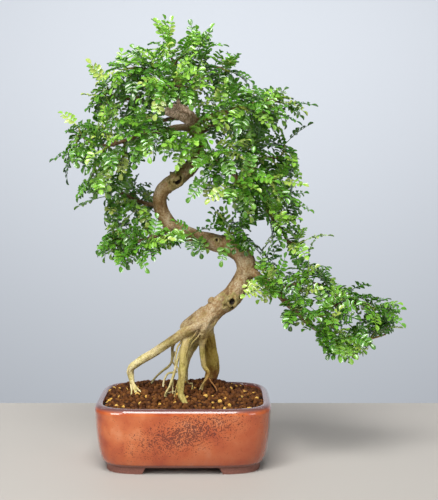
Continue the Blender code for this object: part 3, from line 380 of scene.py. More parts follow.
# Soil grains
GRAIN_PITCH = 6 * MM
GRAIN_SIZES = (2.5 * MM, 3.8 * MM)  # radius
PALE_SHARE = 0.04           # of the grains are pale pumice
PALE_TINTS = 0.96           # tints from here up are pale
DARK_TINTS = 0.9            # and up to here dark
GRAIN_KINDS = 10
GRAIN_DENTS = 0.3           # of its radius
GRAIN_STRETCH = (0.72, 1.12)
GRAIN_ROWS = 0.87           # from row to row, as a share of the pitch
GRAIN_STRAY = 0.4           # of the pitch
GRAIN_EDGE = 12.2 * MM      # in from the lip's widest line
GRAIN_LIFTS = (-1.4 * MM, 0.6 * MM)
# Grains heaped on the soil: towards the back, and round the right leg
HEAP_RISE = 7 * MM
HEAP_BACK = (-20 * MM, 50 * MM)
HEAP_RIGHT = (42 * MM, 74 * MM)     # it falls off between these
LEG_HEAP = (38 * MM, 40 * MM)
LEG_HEAP_RISE = 5 * MM
LEG_HEAP_REACH = 28 * MM
HEAP_FOOT = 70 * MM         # it reaches down into the block of soil to here
HEAP_DEPTH = 1.5 * MM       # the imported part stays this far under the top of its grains
HEAP_RINGS = [11, 14, 20, 28, 38, 50, 62, 74]   # millimetres in from the pot's outline

# Pot: its wall, from the edge of its underside up the outside, over the lip and down inside,
# as millimetres in from the lip's widest line and millimetres up
POT_PROFILE = [(13, 9), (11, 10.2), (8.4, 14), (5.8, 21), (3.6, 32), (1.8, 46), (0.7, 60),
               (0.1, 72), (-0.4, 79), (-0.6, 81.8), (-0.3, 83.6), (0.5, 85.4), (1.8, 87.3),
               (3.6, 88.9), (5.8, 89.8), (8, 89.8), (9.6, 88.8), (10.2, 86), (10.4, 72),
               (10.8, 56), (14, 30), (22, 17)]
POT_ROUND = 160
PROFILE_STEP = 1.6 * MM

# Camera: where the photograph's stood, and its lens in pixels of the 438 by 500 frame
CAMERA_PLACE = Vector((48.5, -1350, 407)) * MM
CAMERA_DIP = math.radians(4.87)
FOCAL_PIXELS = 985
FRAME_LONG_SIDE = 500
FRAME_MIDDLE = (219, 250)
SENSOR = 36

# The floor ends this far behind the middle, well before the backdrop
FLOOR_END = 0.31
FLOOR_SIZE = 6
BACKDROP_SIZE = 16
BACKDROP_PLACE = (0, 4.55, 1.6)
BACKDROP_AIM = (0, 4.55, -1.4)
OBJECT_AIM = (0, 0, 0.3)
# Soft lamps: place, aim, size and watts
LAMPS = {"overhead": ((-0.2, -1.0, 1.7), OBJECT_AIM, (1.1, 0.7), 38),
         "front_left": ((-1.4, -1.6, 1.2), OBJECT_AIM, (0.8, 1.0), 27.5),
         "front_right": ((1.5, -1.7, 1.0), OBJECT_AIM, (0.8, 1.0), 10),
         "backdrop_light": ((0, 1.8, 1.9), BACKDROP_AIM, (4.8, 1.2), 132)}
ROOM_LIGHT = 0.25

# Arches between the feet lean outwards by this much of their height
ARCH_LEAN = 0.6
FOOT_EDGE = 0.8 * MM
ARCH_TALL = 60 * MM         # what cuts it, half of it below the ground
GLAZE_INSIDE = 84 * MM      # inside the lip the glaze stops this high
LINING_EDGE = 9 * MM        # the inner wall starts this far in
THIN_GLAZE = (84.5 * MM, 88 * MM)       # between these heights the glaze thins to the lip's
GLAZE_EDGE = 12 * MM        # the glaze stops this high; below it the clay is bare

# From the darkest leaf to the palest
LEAF_GREENS = [(0.2, "224806"), (0.45, "386C10"), (0.72, "5A9422"), (0.98, "84B23C"),
               (1.25, "A6BC58")]
YOUNG_GREENS = [(0.15, "5A9620"), (0.6, "76B434"), (1.1, "9CCA50")]


def unit(vector):
    return vector / numpy.linalg.norm(vector)


def metres(places):
    """Places given in millimetres as arrays in metres; a radius is scaled with its place."""
    return [numpy.array(place, float) * MM for place in places]


def smooth(route, spacing):
    """Rows of x, y, z and radius along one smooth curve through the route's own rows."""
    ends = [2 * route[0] - route[1]] + route + [2 * route[-1] - route[-2]]
    rows = []
    for before, start, end, after in zip(ends, ends[1:], ends[2:], ends[3:]):
        steps = max(1, round(float(numpy.linalg.norm((end - start)[:3])) / spacing))
        for step in range(steps):
            t = step / steps
            rows.append(0.5 * (2 * start + (end - before) * t
                               + (2 * before - 5 * start + 4 * end - after) * t ** 2
                               + (3 * start - before - 3 * end + after) * t ** 3))
    return numpy.array(rows + [route[-1]])


def heading(rows, index):
    """Which way a route runs at one of its rows."""
    return unit((rows[min(index + 1, len(rows) - 1)] - rows[max(index - 1, 0)])[:3])


def square_to(across, ahead):
    return unit(across - ahead * across.dot(ahead))


# How the CAD model's shoots and end leaves grow

class Room:
    """What already fills the air round the tree, as balls that new growth keeps off."""

    def __init__(self):
        self.centres = numpy.empty((0, 3))
        self.radii = numpy.empty(0)

    def add(self, centres, radii):
        self.centres = numpy.vstack((self.centres, centres))
        self.radii = numpy.append(self.radii, numpy.broadcast_to(radii, len(centres)))

    def clearance(self, centres, radius):
        """The least free distance round balls of one radius at these centres."""
        apart = numpy.linalg.norm(centres[:, None, :] - self.centres[None, :, :], axis=2)
        return float((apart - self.radii[None, :]).min()) - radius


def wood_room():
    """The room that the trunk, the limbs and the roots take."""
    room = Room()
    routes = [TRUNK] + list(LIMBS.values()) + list(ROOTS.values())
    for route in routes:
        rows = smooth(metres(route), SAMPLE_SPACING)
        room.add(rows[:, :3], rows[:, 3])
    return room


def bow(base, ahead, tip, sway):
    """A curve from base to tip that sets off partly ahead."""
    length = float(numpy.linalg.norm(tip - base))
    middle = base + (unit(tip - base) + SHOOT_AHEAD * ahead + sway) * length * SHOOT_BOW
    rows = []
    for step in range(SHOOT_STEPS + 1):
        t = step / SHOOT_STEPS
        place = (1 - t) ** 2 * base + 2 * t * (1 - t) * middle + t ** 2 * tip
        rows.append(numpy.append(place, SHOOT_BASE + (SHOOT_TIP - SHOOT_BASE) * t))
    return numpy.array(rows)


def last_fork_row(length):
    """The last row of a shoot's curve that lies before the foot of its end leaf."""
    return int(SHOOT_STEPS * (1 - (LEAF_FOOT + 1 * MM) / length))


class Shoot:
    """A shoot of one spray, from the middle of the wood or the shoot that it grows from."""

    def __init__(self, rows, leaves_at, forked):
        self.rows = rows
        self.leaves_at = leaves_at
        self.forked = forked
        self.forks = []         # rows at which other shoots leave this one
        steps = numpy.linalg.norm(numpy.diff(rows[:, :3], axis=0), axis=1)
        self.length = float(steps.sum())

    def stem(self):
        """First and last row that another shoot may leave from."""
        last = last_fork_row(self.length)
        beyond_cut = math.ceil(FORK_CLEAR * SHOOT_STEPS / self.length)
        return min(self.leaves_at + beyond_cut, last), last

    def bends(self):
        """The rows between its ends that its solid passes through: its forks and its middle."""
        middle = min((self.leaves_at + SHOOT_STEPS) // 2, self.stem()[1])
        if any(abs(fork - middle) < BENDS_APART for fork in self.forks):
            return sorted(set(self.forks))
        return sorted({middle, *self.forks})

    def twig(self):
        """The rest, up to where it narrows into the foot of its end leaf."""
        rows = self.rows
        bends = [rows[bend] for bend in self.bends()]
        if self.forked:
            start = rows[0] * (1, 1, 1, FORK_SHARE)
        else:
            start = rows[self.leaves_at]
            start = start + GAP * numpy.append(unit((bends[0] - start)[:3]), 0)
        end = rows[-1] - LEAF_FOOT * numpy.append(heading(rows, SHOOT_STEPS), 0)
        return numpy.array([start] + bends + [end])

    def straight_points(self):
        """Places along the straight stretches of its solid."""
        twig = self.twig()[:, :3]
        return numpy.vstack([numpy.linspace(low, high, STRAIGHT_SAMPLES)
                             for low, high in zip(twig, twig[1:])])


def grow_shoot(parent, allowed, centre, forked, wood, room, draw):
    """One shoot from the nearest stretch of its parent to a clump, clear of other growth.

    Returns the parent's row that it leaves, and the shoot."""
    low, high = allowed
    reach = numpy.linalg.norm(parent[:, :3] - centre, axis=1)
    nearest = low + int(reach[low:high + 1].argmin())
    back = int(round(SHOOT_SET_BACK * reach[nearest] / SAMPLE_SPACING))
    start = max(nearest - back, low)
    base = parent[start, :3]
    towards = unit(centre - base)
    set_back = (nearest - start) * SAMPLE_SPACING
    distance = float(numpy.linalg.norm(centre - base))
    inside = 0 if forked else parent[nearest, 3]
    length = max(SHOOT_LEAST + inside + set_back, distance - LEAF_LEAD)
    best = None
    for attempt in range(SHOOT_TRIES):
        spread = SHOOT_SPREAD * attempt / SHOOT_TRIES
        sway = numpy.array([draw.uniform(-1, 1) for _ in range(3)]) * (SHOOT_SWAY + spread)
        turn = numpy.array([draw.uniform(-1, 1) for _ in range(3)]) * SHOOT_TURN * spread
        tip = base + unit(towards + turn) * length
        rows = bow(base, heading(parent, start), tip, sway)
        off = numpy.linalg.norm(rows[:, None, :3] - parent[None, :, :3], axis=2)
        off = (off - parent[None, :, 3]).min(axis=1)
        free = [index for index in range(1, last_fork_row(length) - 1)
                if off[index] > SHOOT_BASE + STUB_CLEAR]
        shoot = Shoot(rows, free[0] if free else 1, forked)
        space = min(wood.clearance(rows[0 if forked else shoot.leaves_at:, :3], SHOOT_BASE),
                    wood.clearance(shoot.straight_points(), SHOOT_BASE),
                    room.clearance(rows[shoot.leaves_at + 2:, :3], SHOOT_BASE))
        if best is None or space > best[0]:
            best = (space, shoot)
        if free and space > ROOM_ENOUGH * STUB_CLEAR:
            break
    return start, best[1]


def grow_spray(limb, centres, wood, room, draw):
    """A spray's shoots: the first from its limb, and the others from the first."""
    carrier = smooth(metres(TRUNK if limb == "trunk" else LIMBS[limb]), SAMPLE_SPACING)
    shoots = []
    for centre in metres(centres):
        forked = bool(shoots)
        parent = shoots[0].rows if forked else carrier
        allowed = shoots[0].stem() if forked else (1, len(carrier) - 1)
        start, shoot = grow_shoot(parent, allowed, centre, forked, wood, room, draw)
        if forked:
            shoots[0].forks.append(start)
        shoots.append(shoot)
        room.add(shoot.rows[shoot.leaves_at:, :3], shoot.rows[shoot.leaves_at:, 3])
    return shoots


def grow_shoots():
    """The shoots of every spray, all grown before the first leaf."""
    wood = wood_room()
    room = Room()
    room.add(wood.centres, wood.radii)
    draw = random.Random(SEED)
    sprays = {}
    for limb, clumps in SPRAYS.items():
        for number, centres in enumerate(clumps, 1):
            sprays[f"spray_{limb}_{number}"] = grow_spray(limb, centres, wood, room, draw)
    return sprays, room


class Leaf:
    """Where a leaf grows and how it bends."""

    def __init__(self, root, ahead, facing, length, droop, fold):
        self.length = length
        self.droop = droop
        self.fold = fold
        beside = unit(numpy.cross(facing, ahead))
        above = numpy.cross(ahead, beside)
        self.root = root
        self.axes = numpy.array((ahead, beside, above))

    def place(self, along, across, height):
        """A point of the flat leaf, carried to where the bent leaf has it."""
        turn = self.droop * along / self.length
        bend = self.length / self.droop
        lift = height + self.fold * abs(across)
        local = ((bend + lift) * math.sin(turn), across,
                 (bend + lift) * math.cos(turn) - bend)
        return self.root + numpy.array(local) @ self.axes

    def samples(self):
        """Points spread over the leaflets, for keeping clear of other growth."""
        over = [self.place(share * self.length, side * LEAF_SIDE, 0)
                for share in LEAF_STATIONS for side in (-1, 0, 1)]
        ends = [self.place(share * self.length, 0, 0) for share in LEAF_ENDS]
        return numpy.array(over + ends)


def fitted_leaf(root, onward, aside, habit, room, draw, suits=None):
    """The first of some tries at a leaf that is clear of other growth, or else the clearest.

    Returns how much room it has, and the leaf."""
    middles = metres(CROWN_MIDDLES)
    outward = root - min(middles, key=lambda middle: numpy.linalg.norm(root - middle))
    outward = unit(outward * (1, 1, LEAF_LEVEL))
    lean = onward * habit["onward"] + aside * habit["aside"] + outward * habit["outward"]
    best = None
    for attempt in range(habit["tries"]):
        wander = habit["wander"][0] + habit["wander"][1] * attempt / habit["tries"]
        turn = numpy.array([draw.uniform(-1, 1) for _ in range(3)])
        ahead = unit(lean + turn * wander)
        tilt = numpy.array((draw.uniform(*habit["rolls"]), draw.uniform(*habit["tilts"]), 1.0))
        leaf = Leaf(root, ahead, unit(tilt + outward * LEAF_FACE_OUT),
                    draw.uniform(*habit["lengths"]), draw.uniform(*habit["droops"]),
                    draw.uniform(*habit["folds"]))
        samples = leaf.samples()[NEAR_SAMPLES if suits else 0:]
        if suits and not suits(samples):
            continue
        space = room.clearance(samples, habit["ball"])
        if best is None or space > best[0]:
            best = (space, leaf)
        if space > habit["enough"]:
            break
    return best


def grow_end_leaf(shoot, room, draw):
    """The leaf that ends a shoot, turned until it is clear of everything grown before it."""
    onward = heading(shoot.rows, len(shoot.rows) - 1)
    leaf = fitted_leaf(shoot.rows[-1, :3], onward, numpy.zeros(3), END_HABIT, room, draw)[1]
    room.add(leaf.samples(), END_HABIT["ball"])
    return leaf


# Small tools

def srgb(code):
    """Linear colour of an sRGB hex code such as "C86E46"."""
    channels = [int(code[start:start + 2], 16) / 255 for start in (0, 2, 4)]
    return [c / 12.92 if c <= 0.04045 else ((c + 0.055) / 1.055) ** 2.4 for c in channels] + [1]


def corners(thing, kind):
    """The places or normals of an object's corners as an array."""
    flat = numpy.empty(len(thing.data.vertices) * 3)
    thing.data.vertices.foreach_get(kind, flat)
    return flat.reshape(-1, 3)


def store(thing, **values):
    """Numbers for each corner of an object, or one for all, which its material reads."""
    for name, numbers in values.items():
        attribute = thing.data.attributes.new(name, "FLOAT", "POINT")
        spread = numpy.broadcast_to(numbers, len(thing.data.vertices))
        attribute.data.foreach_set("value", spread.astype(numpy.float32))


def mesh_data(name, mesh):
    """A bmesh's shape kept as a mesh; the bmesh is used up."""
    data = bpy.data.meshes.new(name)
    mesh.to_mesh(data)
    mesh.free()
    return data


def new_object(name, mesh):
    """A scene object from a bmesh, which is used up."""
    thing = bpy.data.objects.new(name, mesh_data(name, mesh))
    bpy.context.scene.collection.objects.link(thing)
    return thing


def bake_modifiers(thing):
    """Replace an object's mesh by what its modifiers make of it."""
    seen = thing.evaluated_get(bpy.context.evaluated_depsgraph_get())
    thing.data = bpy.data.meshes.new_from_object(seen)
    thing.modifiers.clear()


def settle(thing, finishes, slot, *nodes):
    """Put a finished piece where the pot stands, on the one body, in place of its solids."""
    for finish in finishes:
        thing.data.materials.append(finish)
    thing.data.transform(Matrix.Translation(POT_CENTRE))
    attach(thing, "root")
    if nodes:
        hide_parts(*nodes)


# Wood

def frames_along(rows):
    """For each row of a route a matrix that carries a unit circle square to it."""
    across = numpy.array((0.3, 1.0, 0.2))
    frames = []
    for index, row in enumerate(rows):
        ahead = heading(rows, index)
        across = square_to(across, ahead)
        turn = Matrix((across, numpy.cross(ahead, across), ahead)).transposed().to_4x4()
        frames.append(Matrix.Translation(row[:3]) @ turn @ Matrix.Scale(row[3], 4))
    return frames


def pour(mesh, small):
    """Add a small bmesh to a large one and use it up; returns how many corners it had."""
    data = mesh_data("poured", small)
    mesh.from_mesh(data)
    count = len(data.vertices)
    bpy.data.meshes.remove(data)
    return count


def extrude_rings(mesh, sides, start, steps):
    """A circle, extruded and carried on by each step in turn.

    Returns the rings of corners, and the edges of the first and of the last."""
    rings = [bmesh.ops.create_circle(mesh, segments=sides, radius=1, matrix=start)["verts"]]
    first = edges = list({edge for vert in rings[0] for edge in vert.link_edges})
    for step in steps:
        grown = bmesh.ops.extrude_edge_only(mesh, edges=edges)["geom"]
        ring = [item for item in grown if isinstance(item, bmesh.types.BMVert)]
        inside = set(ring)
        edges = [item for item in grown if isinstance(item, bmesh.types.BMEdge)
                 and inside.issuperset(item.verts)]
        bmesh.ops.transform(mesh, matrix=step, verts=ring)
        rings.append(ring)
    return rings, first + edges


def grow_rod(rows, sides):
    """A round rod along a route: a circle extruded from row to row, closed at both ends."""
    mesh = bmesh.new()
    frames = frames_along(rows)
    steps = [after @ before.inverted() for before, after in zip(frames, frames[1:])]
    ends = extrude_rings(mesh, sides, frames[0], steps)[1]
    bmesh.ops.holes_fill(mesh, edges=ends, sides=0)
    bmesh.ops.recalc_face_normals(mesh, faces=mesh.faces[:])
    return mesh


def wood_routes():
    """Every stretch of wood as finely spaced rows, with its name."""
    routes = {"trunk": smooth(metres(TRUNK), FINE_SPACING)}
    for name, route in ROOTS.items():
        foot = route[-1]
        buried = (foot[0], foot[1], ROOT_FOOT / MM, foot[3])
        routes["root_" + name] = smooth(metres(route + [buried]), FINE_SPACING)
    for name, route in LIMBS.items():
        routes["limb_" + name] = smooth(metres(route), FINE_SPACING)
    return routes


def dead_stub_rows(start, end, radius):
    """A snapped-off stub, thicker at its foot."""
    low = numpy.array(start + (radius * STUB_FOOT,))
    high = numpy.array(end + (radius * STUB_END,))
    middle = (low + high) / 2 + numpy.array((0, 0, STUB_RISE, 0))
    return smooth([low * MM, middle * MM, high * MM], FINE_SPACING)


def fused_wood(routes, stub_rows):
    """All the wood in one skin, with soft collars where one stretch leaves another."""
    thin = [smooth(metres(ridge), FINE_SPACING) for ridge in RIDGES]
    thin += [dead_stub_rows(*stub) for stub in DEAD_STUBS]
    thin += stub_rows
    mesh = bmesh.new()
    for rows in routes.values():
        pour(mesh, grow_rod(rows, TRUNK_ROUND if rows[0][3] > THICK_WOOD else THIN_ROUND))
    for rows in thin:
        pour(mesh, grow_rod(rows, THIN_ROUND))
    for place, facing, out, width in KNOTS:
        middle = Vector(place) * MM + Vector(facing).normalized() * (out - KNOT_SUNK) * MM
        ball = bmesh.new()
        bmesh.ops.create_icosphere(ball, subdivisions=3, radius=width * KNOT_BALL * MM,
                                   matrix=Matrix.Translation(middle))
        pour(mesh, ball)
    tree = new_object("bonsai_tree", mesh)
    remesh = tree.modifiers.new("fuse", "REMESH")
    remesh.mode = "VOXEL"
    remesh.voxel_size = VOXEL
    soften = tree.modifiers.new("soften", "SMOOTH")
    soften.factor = 0.5
    soften.iterations = SKIN_SMOOTHING
    bake_modifiers(tree)
    return tree


class Grain:
    """How far along, which way round and how thick the wood is at any point of its skin."""

    def __init__(self, routes):
        self.rows = []
        for number, (name, route) in enumerate(routes.items()):
            steps = numpy.linalg.norm(numpy.diff(route[:, :3], axis=0), axis=1)
            along = numpy.append(0, numpy.cumsum(steps)) + number
            for index, row in enumerate(route):
                frame_here = frames_along(route[max(index - 1, 0):index + 2])[min(index, 1)]
                self.rows.append((row, along[index], name, frame_here.to_3x3().normalized()))
        self.tree = KDTree(len(self.rows))
        for index, (row, _, _, _) in enumerate(self.rows):
            self.tree.insert(row[:3], index)
        self.tree.balance()

    def at(self, place):
        """The row whose bark is nearest, and the place in that row's own axes."""
        nearest = min(self.tree.find_n(place, 6),
                      key=lambda found: found[2] - self.rows[found[1]][0][3])
        row, along, name, turn = self.rows[nearest[1]]
        local = turn.transposed() @ (place - nearest[0])
        return row, along + local.z, name, local


def bark_waves(fineness, around, radius, along):
    """Waves in the bark that follow the wood, so fine round it and so fine along it."""
    across, lengthwise = fineness
    return noise.noise(Vector((around.x * radius * across, around.y * radius * across,
                               along * lengthwise)))


def bark_lift(place, along, local, radius, rooted):
    """How far the bark stands out at a point of the wood, in metres."""
    around = Vector((local.x, local.y, 0)).normalized()
    lift = noise.noise(place * SWELLS) * SWELL_SHARE * radius
    lift += FLUTE_HEIGHTS[rooted] * bark_waves(FLUTES, around, radius, along)
    lift += ROUGH_HEIGHT * noise.noise(place * ROUGHNESS)
    lift += PLATE_HEIGHT * bark_waves(PLATES, around, radius, along)
    return lift * min(1, radius / FULL_BARK)


def knot_shape(place):
    """How far a point near a healed cut moves out of or into the wood, and how dark it is."""
    move, dark = Vector((0, 0, 0)), 0
    for middle, facing, out, width in KNOTS:
        facing = Vector(facing).normalized()
        away = place - (Vector(middle) + facing * out) * MM
        depth = away.dot(facing)
        share = (away - facing * depth).length / (width * MM)
        share *= 1 + sum(much * noise.noise(place * waves) for waves, much in KNOT_RAGS)
        if share < 2 and abs(depth) < KNOT_REACH * width * MM:
            rim = math.exp(-((share - 1) / KNOT_RIM_SPREAD) ** 2)
            hollow = 1 / (1 + math.exp((share - KNOT_HOLLOW) / KNOT_SOFTNESS))
            ragged = 1 + 0.35 * noise.noise(place * 240)
            move += facing * (KNOT_RIM * rim - KNOT_DEPTH * width * MM * hollow) * ragged
            dark = max(dark, hollow, KNOT_RIM_DARK * rim)
    return move, dark


def raise_bark(tree, routes):
    """Move the skin by its bark's relief and note what its material reads."""
    grain = Grain(routes)
    normals = corners(tree, "normal")
    places = corners(tree, "co")
    girth, relief, hollow = [], [], []
    for index, place in enumerate(places):
        place = Vector(place)
        row, along, name, local = grain.at(place)
        lift = bark_lift(place, along, local, row[3], name.startswith("root_"))
        shift, dark = knot_shape(place)
        places[index] = place + Vector(normals[index]) * lift + shift
        girth.append(row[3] / THICK_GIRTH)
        relief.append(0.5 + lift / RELIEF_SPAN)
        hollow.append(dark)
    tree.data.vertices.foreach_set("co", places.ravel())
    tree.data.update()
    store(tree, girth=girth, relief=relief, hollow=hollow)
    tree.data.shade_smooth()


def make_tree(sprays, bark):
    """Trunk, limbs, roots and old cuts, with the stub of wood that carries each spray."""
    routes = wood_routes()
    stubs = [shoots[0].rows[:shoots[0].leaves_at + 2] * (1, 1, 1, COLLAR)
             for shoots in sprays.values()]
    tree = fused_wood(routes, stubs)
    raise_bark(tree, routes)
    settle(tree, [bark], "bark", "tree")


def make_fine_roots(bark):
    """Hair roots that hang between the thick ones and run into the soil."""
    noise.seed_set(SEED)
    mesh = bmesh.new()
    for route in FINE_ROOTS:
        rows = smooth(metres(route), FINE_SPACING)
        for row in rows:
            row[:3] += numpy.array(noise.noise_vector(Vector(row[:3]) * 90)) * HAIR_WANDER
        pour(mesh, grow_rod(rows, HAIR_ROUND))
    roots = new_object("fine_roots", mesh)
    store(roots, girth=HAIR_GIRTH, relief=0.5, hollow=0)
    roots.data.shade_smooth()
    settle(roots, [bark], "bark")


# Leaves

def leaflet_form():
    """A leaflet from its foot to its tip, as a thin blade that meets at its rim."""
    mesh = bmesh.new()
    spans = len(LEAFLET_OUTLINE) - 1
    bmesh.ops.create_grid(mesh, x_segments=spans, y_segments=2, size=0.5)
    veins = mesh.loops.layers.uv.new("blade")
    for vert in mesh.verts:
        side = round(vert.co.y * 2)
        along, wide = LEAFLET_OUTLINE[round((vert.co.x + 0.5) * spans)]
        across = side * wide * 0.5
        vert.co = (along, across, LEAFLET_RISE * abs(side) * wide - LEAFLET_ARCH * along ** 2)
        for loop in vert.link_loops:
            loop[veins].uv = (along, 0.5 + across)
    under = bmesh.ops.duplicate(mesh, geom=mesh.faces[:])["geom"]
    bmesh.ops.reverse_faces(mesh, faces=[item for item in under
                                         if isinstance(item, bmesh.types.BMFace)])
    for item in under:
        if isinstance(item, bmesh.types.BMVert) and item.co.y == 0 and 0 < item.co.x < 1:
            item.co.z -= LEAFLET_THICKNESS / LEAFLET_LENGTH
    bmesh.ops.remove_doubles(mesh, verts=mesh.verts, dist=0.001)
    return mesh_data("leaflet_form", mesh)


def add_form(mesh, form, matrix):
    """Another copy of a form, carried by a matrix; returns how many corners it has."""
    small = bmesh.new()
    small.from_mesh(form)
    bmesh.ops.transform(small, matrix=matrix, verts=small.verts)
    return pour(mesh, small)


def leaf_form(pairs, leaflet, draw):
    """A flat compound leaf along +X, its length 1 and its leaflets in true proportion."""
    length = (22 + 6.2 * pairs) * MM
    mesh = bmesh.new()
    stations = [PETIOLE_SHARE + (RACHIS_SHARE - PETIOLE_SHARE) * (pair + PAIR_SET) / pairs
                for pair in range(pairs)]
    radii = numpy.linspace(*RIB_RADII, pairs + 2)
    rows = [numpy.array((x * length, 0, 0, radius))
            for x, radius in zip([0] + stations + [RIB_END], radii)]
    pour(mesh, grow_rod(rows, RIB_SIDES))
    for number, share in enumerate(stations):
        size = 0.8 + 0.25 * math.sin(math.pi * (number + 0.8) / pairs)
        size *= draw.uniform(*LEAFLET_SIZES)
        for side in (-1, 1):
            forward = side * math.radians(draw.uniform(*LEAFLET_FORWARD))
            step = draw.uniform(-LEAFLET_STAGGER, LEAFLET_STAGGER)
            place = Matrix.Translation((share * length + step, 0, 0))
            turn = Matrix.Rotation(forward, 4, "Z")
            turn = turn @ Matrix.Rotation(draw.uniform(*LEAFLET_ROLL), 4, "X")
            turn = turn @ Matrix.Rotation(draw.uniform(*LEAFLET_PITCH), 4, "Y")
            scale = Matrix.Diagonal((LEAFLET_LENGTH * size, LEAFLET_WIDTH * size,
                                     LEAFLET_LENGTH * size, 1))
            add_form(mesh, leaflet, place @ turn @ scale)
    long, wide = END_LEAFLET_SIZE
    scale = Matrix.Diagonal((LEAFLET_LENGTH * long, LEAFLET_WIDTH * wide, LEAFLET_LENGTH, 1))
    turn = Matrix.Rotation(draw.uniform(-END_LEAFLET_TURN, END_LEAFLET_TURN), 4, "Z")
    place = Matrix.Translation((END_LEAFLET_AT * length, 0, 0))
    add_form(mesh, leaflet, place @ turn @ scale)
    bmesh.ops.scale(mesh, vec=(1 / length, 1, 1), verts=mesh.verts)
    form = mesh_data(f"leaf_form_{pairs}", mesh)
    form.set_sharp_from_angle(angle=math.radians(70))
    return form


def leaf_forms():
    """Patterns of leaf for each number of leaflet pairs."""
    draw = random.Random(SEED)
    leaflet = leaflet_form()
    return {pairs: [leaf_form(pairs, leaflet, draw) for _ in range(LEAF_PATTERNS)]
            for pairs in sorted(set(LEAF_KINDS))}


def near_room(room, place, reach):
    """The part of a room that lies within reach of a place."""
    near = Room()
    apart = numpy.linalg.norm(room.centres - place, axis=1) - room.radii
    near.add(room.centres[apart < reach], room.radii[apart < reach])
    return near


def in_box(samples):
    """Whether a leaf stays about inside the CAD model's box."""
    low, high = (numpy.array(corner) - numpy.array(POT_CENTRE) for corner in cad_box)
    return bool((samples > low - BOX_SPARE).all() and (samples < high + BOX_SPARE).all())


def in_outline(samples):
    """Whether a leaf stays inside the crown's outline, as the photograph shows it."""
    away = samples - numpy.array(CAMERA_PLACE)
    cosine, sine = math.cos(CAMERA_DIP), math.sin(CAMERA_DIP)
    depth = away[:, 1] * cosine - away[:, 2] * sine
    across = FRAME_MIDDLE[0] + FOCAL_PIXELS * away[:, 0] / depth
    down = FRAME_MIDDLE[1] - FOCAL_PIXELS * (away[:, 1] * sine + away[:, 2] * cosine) / depth
    inside = numpy.zeros(len(samples), bool)
    for (x, y), (next_x, next_y) in zip(CROWN_OUTLINE, CROWN_OUTLINE[1:] + CROWN_OUTLINE[:1]):
        if y != next_y:
            crosses = (y > down) != (next_y > down)
            inside ^= crosses & (across < (next_x - x) * (down - y) / (next_y - y) + x)
    return bool(inside.all())


def side_leaf(root, onward, aside, room, draw):
    """A leaf from a point of a stem, turned until it is clear of what has grown there."""
    near = near_room(room, root, LEAF_LENGTHS[1] + SIDE_SHY)
    ball = SIDE_HABIT["ball"]
    best = fitted_leaf(root, onward, aside, SIDE_HABIT, near, draw,
                       lambda samples: in_box(samples) and in_outline(samples))
    if best is None or best[0] < -SIDE_CROWDING * ball:
        return []
    room.add(best[1].samples()[NEAR_SAMPLES:], ball)
    return [best[1]]


def turned_aside(onward, angle):
    """A direction square to a stem, at an angle round it."""
    across = square_to(numpy.array((0.2, 0.3, 1.0)), onward)
    return across * math.cos(angle) + numpy.cross(onward, across) * math.sin(angle)


def shoot_leaves(shoot, room, draw):
    """Leaves along a shoot, each further round it than the last."""
    leaves = []
    first = shoot.leaves_at + 1
    turn = draw.uniform(0, 2 * math.pi)
    for number in range(SIDE_LEAVES):
        index = first + int((number + 0.5) / SIDE_LEAVES * (SHOOT_STEPS - first))
        onward = heading(shoot.rows, index)
        aside = turned_aside(onward, turn + number * GOLDEN_TURN)
        leaves += side_leaf(shoot.rows[index, :3], onward, aside, room, draw)
    return leaves


def spur_leaves(room, draw):
    """Leaves straight from the bark of the limbs, past their first sixth."""
    leaves = []
    for route in LIMBS.values():
        rows = smooth(metres(route), SPUR_SPACING)
        turn = draw.uniform(0, 2 * math.pi)
        for index in range(len(rows) // 6, len(rows)):
            onward = heading(rows, index)
            aside = turned_aside(onward, turn + index * GOLDEN_TURN)
            root = rows[index, :3] + aside * rows[index, 3] * 0.5
            leaves += side_leaf(root, onward, aside, room, draw)
    return leaves


def reaching_leaves(sprays, room, draw):
    """Leaves whose tips lie where the crown's outline reaches out."""
    stems = [shoot.rows[shoot.leaves_at:, :3] for shoots in sprays.values() for shoot in shoots]
    stems += [smooth(metres(route), SPUR_SPACING)[2:, :3] for route in LIMBS.values()]
    stems = numpy.vstack(stems)
    leaves = []
    for tip in metres(REACHING_TIPS):
        reach = numpy.linalg.norm(stems - tip, axis=1)
        misfit = numpy.abs(numpy.clip(reach, *REACHING_LENGTHS) - reach) + 0.1 * reach
        root = stems[misfit.argmin()]
        length = float(numpy.clip(reach[misfit.argmin()], *REACHING_LENGTHS))
        facing = numpy.array((draw.uniform(-0.5, 0.5), draw.uniform(-0.9, -0.2), 1.0))
        leaf = Leaf(root, unit(tip - root), unit(facing), length, REACHING_DROOP, REACHING_FOLD)
        room.add(leaf.samples()[NEAR_SAMPLES:], SIDE_HABIT["ball"])
        leaves.append(leaf)
    return leaves


def open_air(room):
    """Balls that fill the gaps which the crown leaves open, so that no leaf fills them."""
    for (x, z), radius, (near, far) in OPEN_AIR:
        depths = numpy.arange(near, far + 1, radius / 2)
        places = numpy.array([(x, depth, z) for depth in depths]) * MM
        room.add(places, radius * MM)


def add_leaf(mesh, leaf, forms, draw):
    """One leaf of the kind that suits its length, bent as it hangs; returns its tints."""
    low, high = LEAF_KIND_LENGTHS
    kind = int((leaf.length - low) / (high - low) * len(LEAF_KINDS))
    form = draw.choice(forms[LEAF_KINDS[min(max(kind, 0), len(LEAF_KINDS) - 1)]])
    small = bmesh.new()
    small.from_mesh(form)
    for vert in small.verts:
        vert.co = leaf.place(vert.co.x * leaf.length, vert.co.y, vert.co.z)
    return [draw.uniform(*TINTS)] * pour(mesh, small)


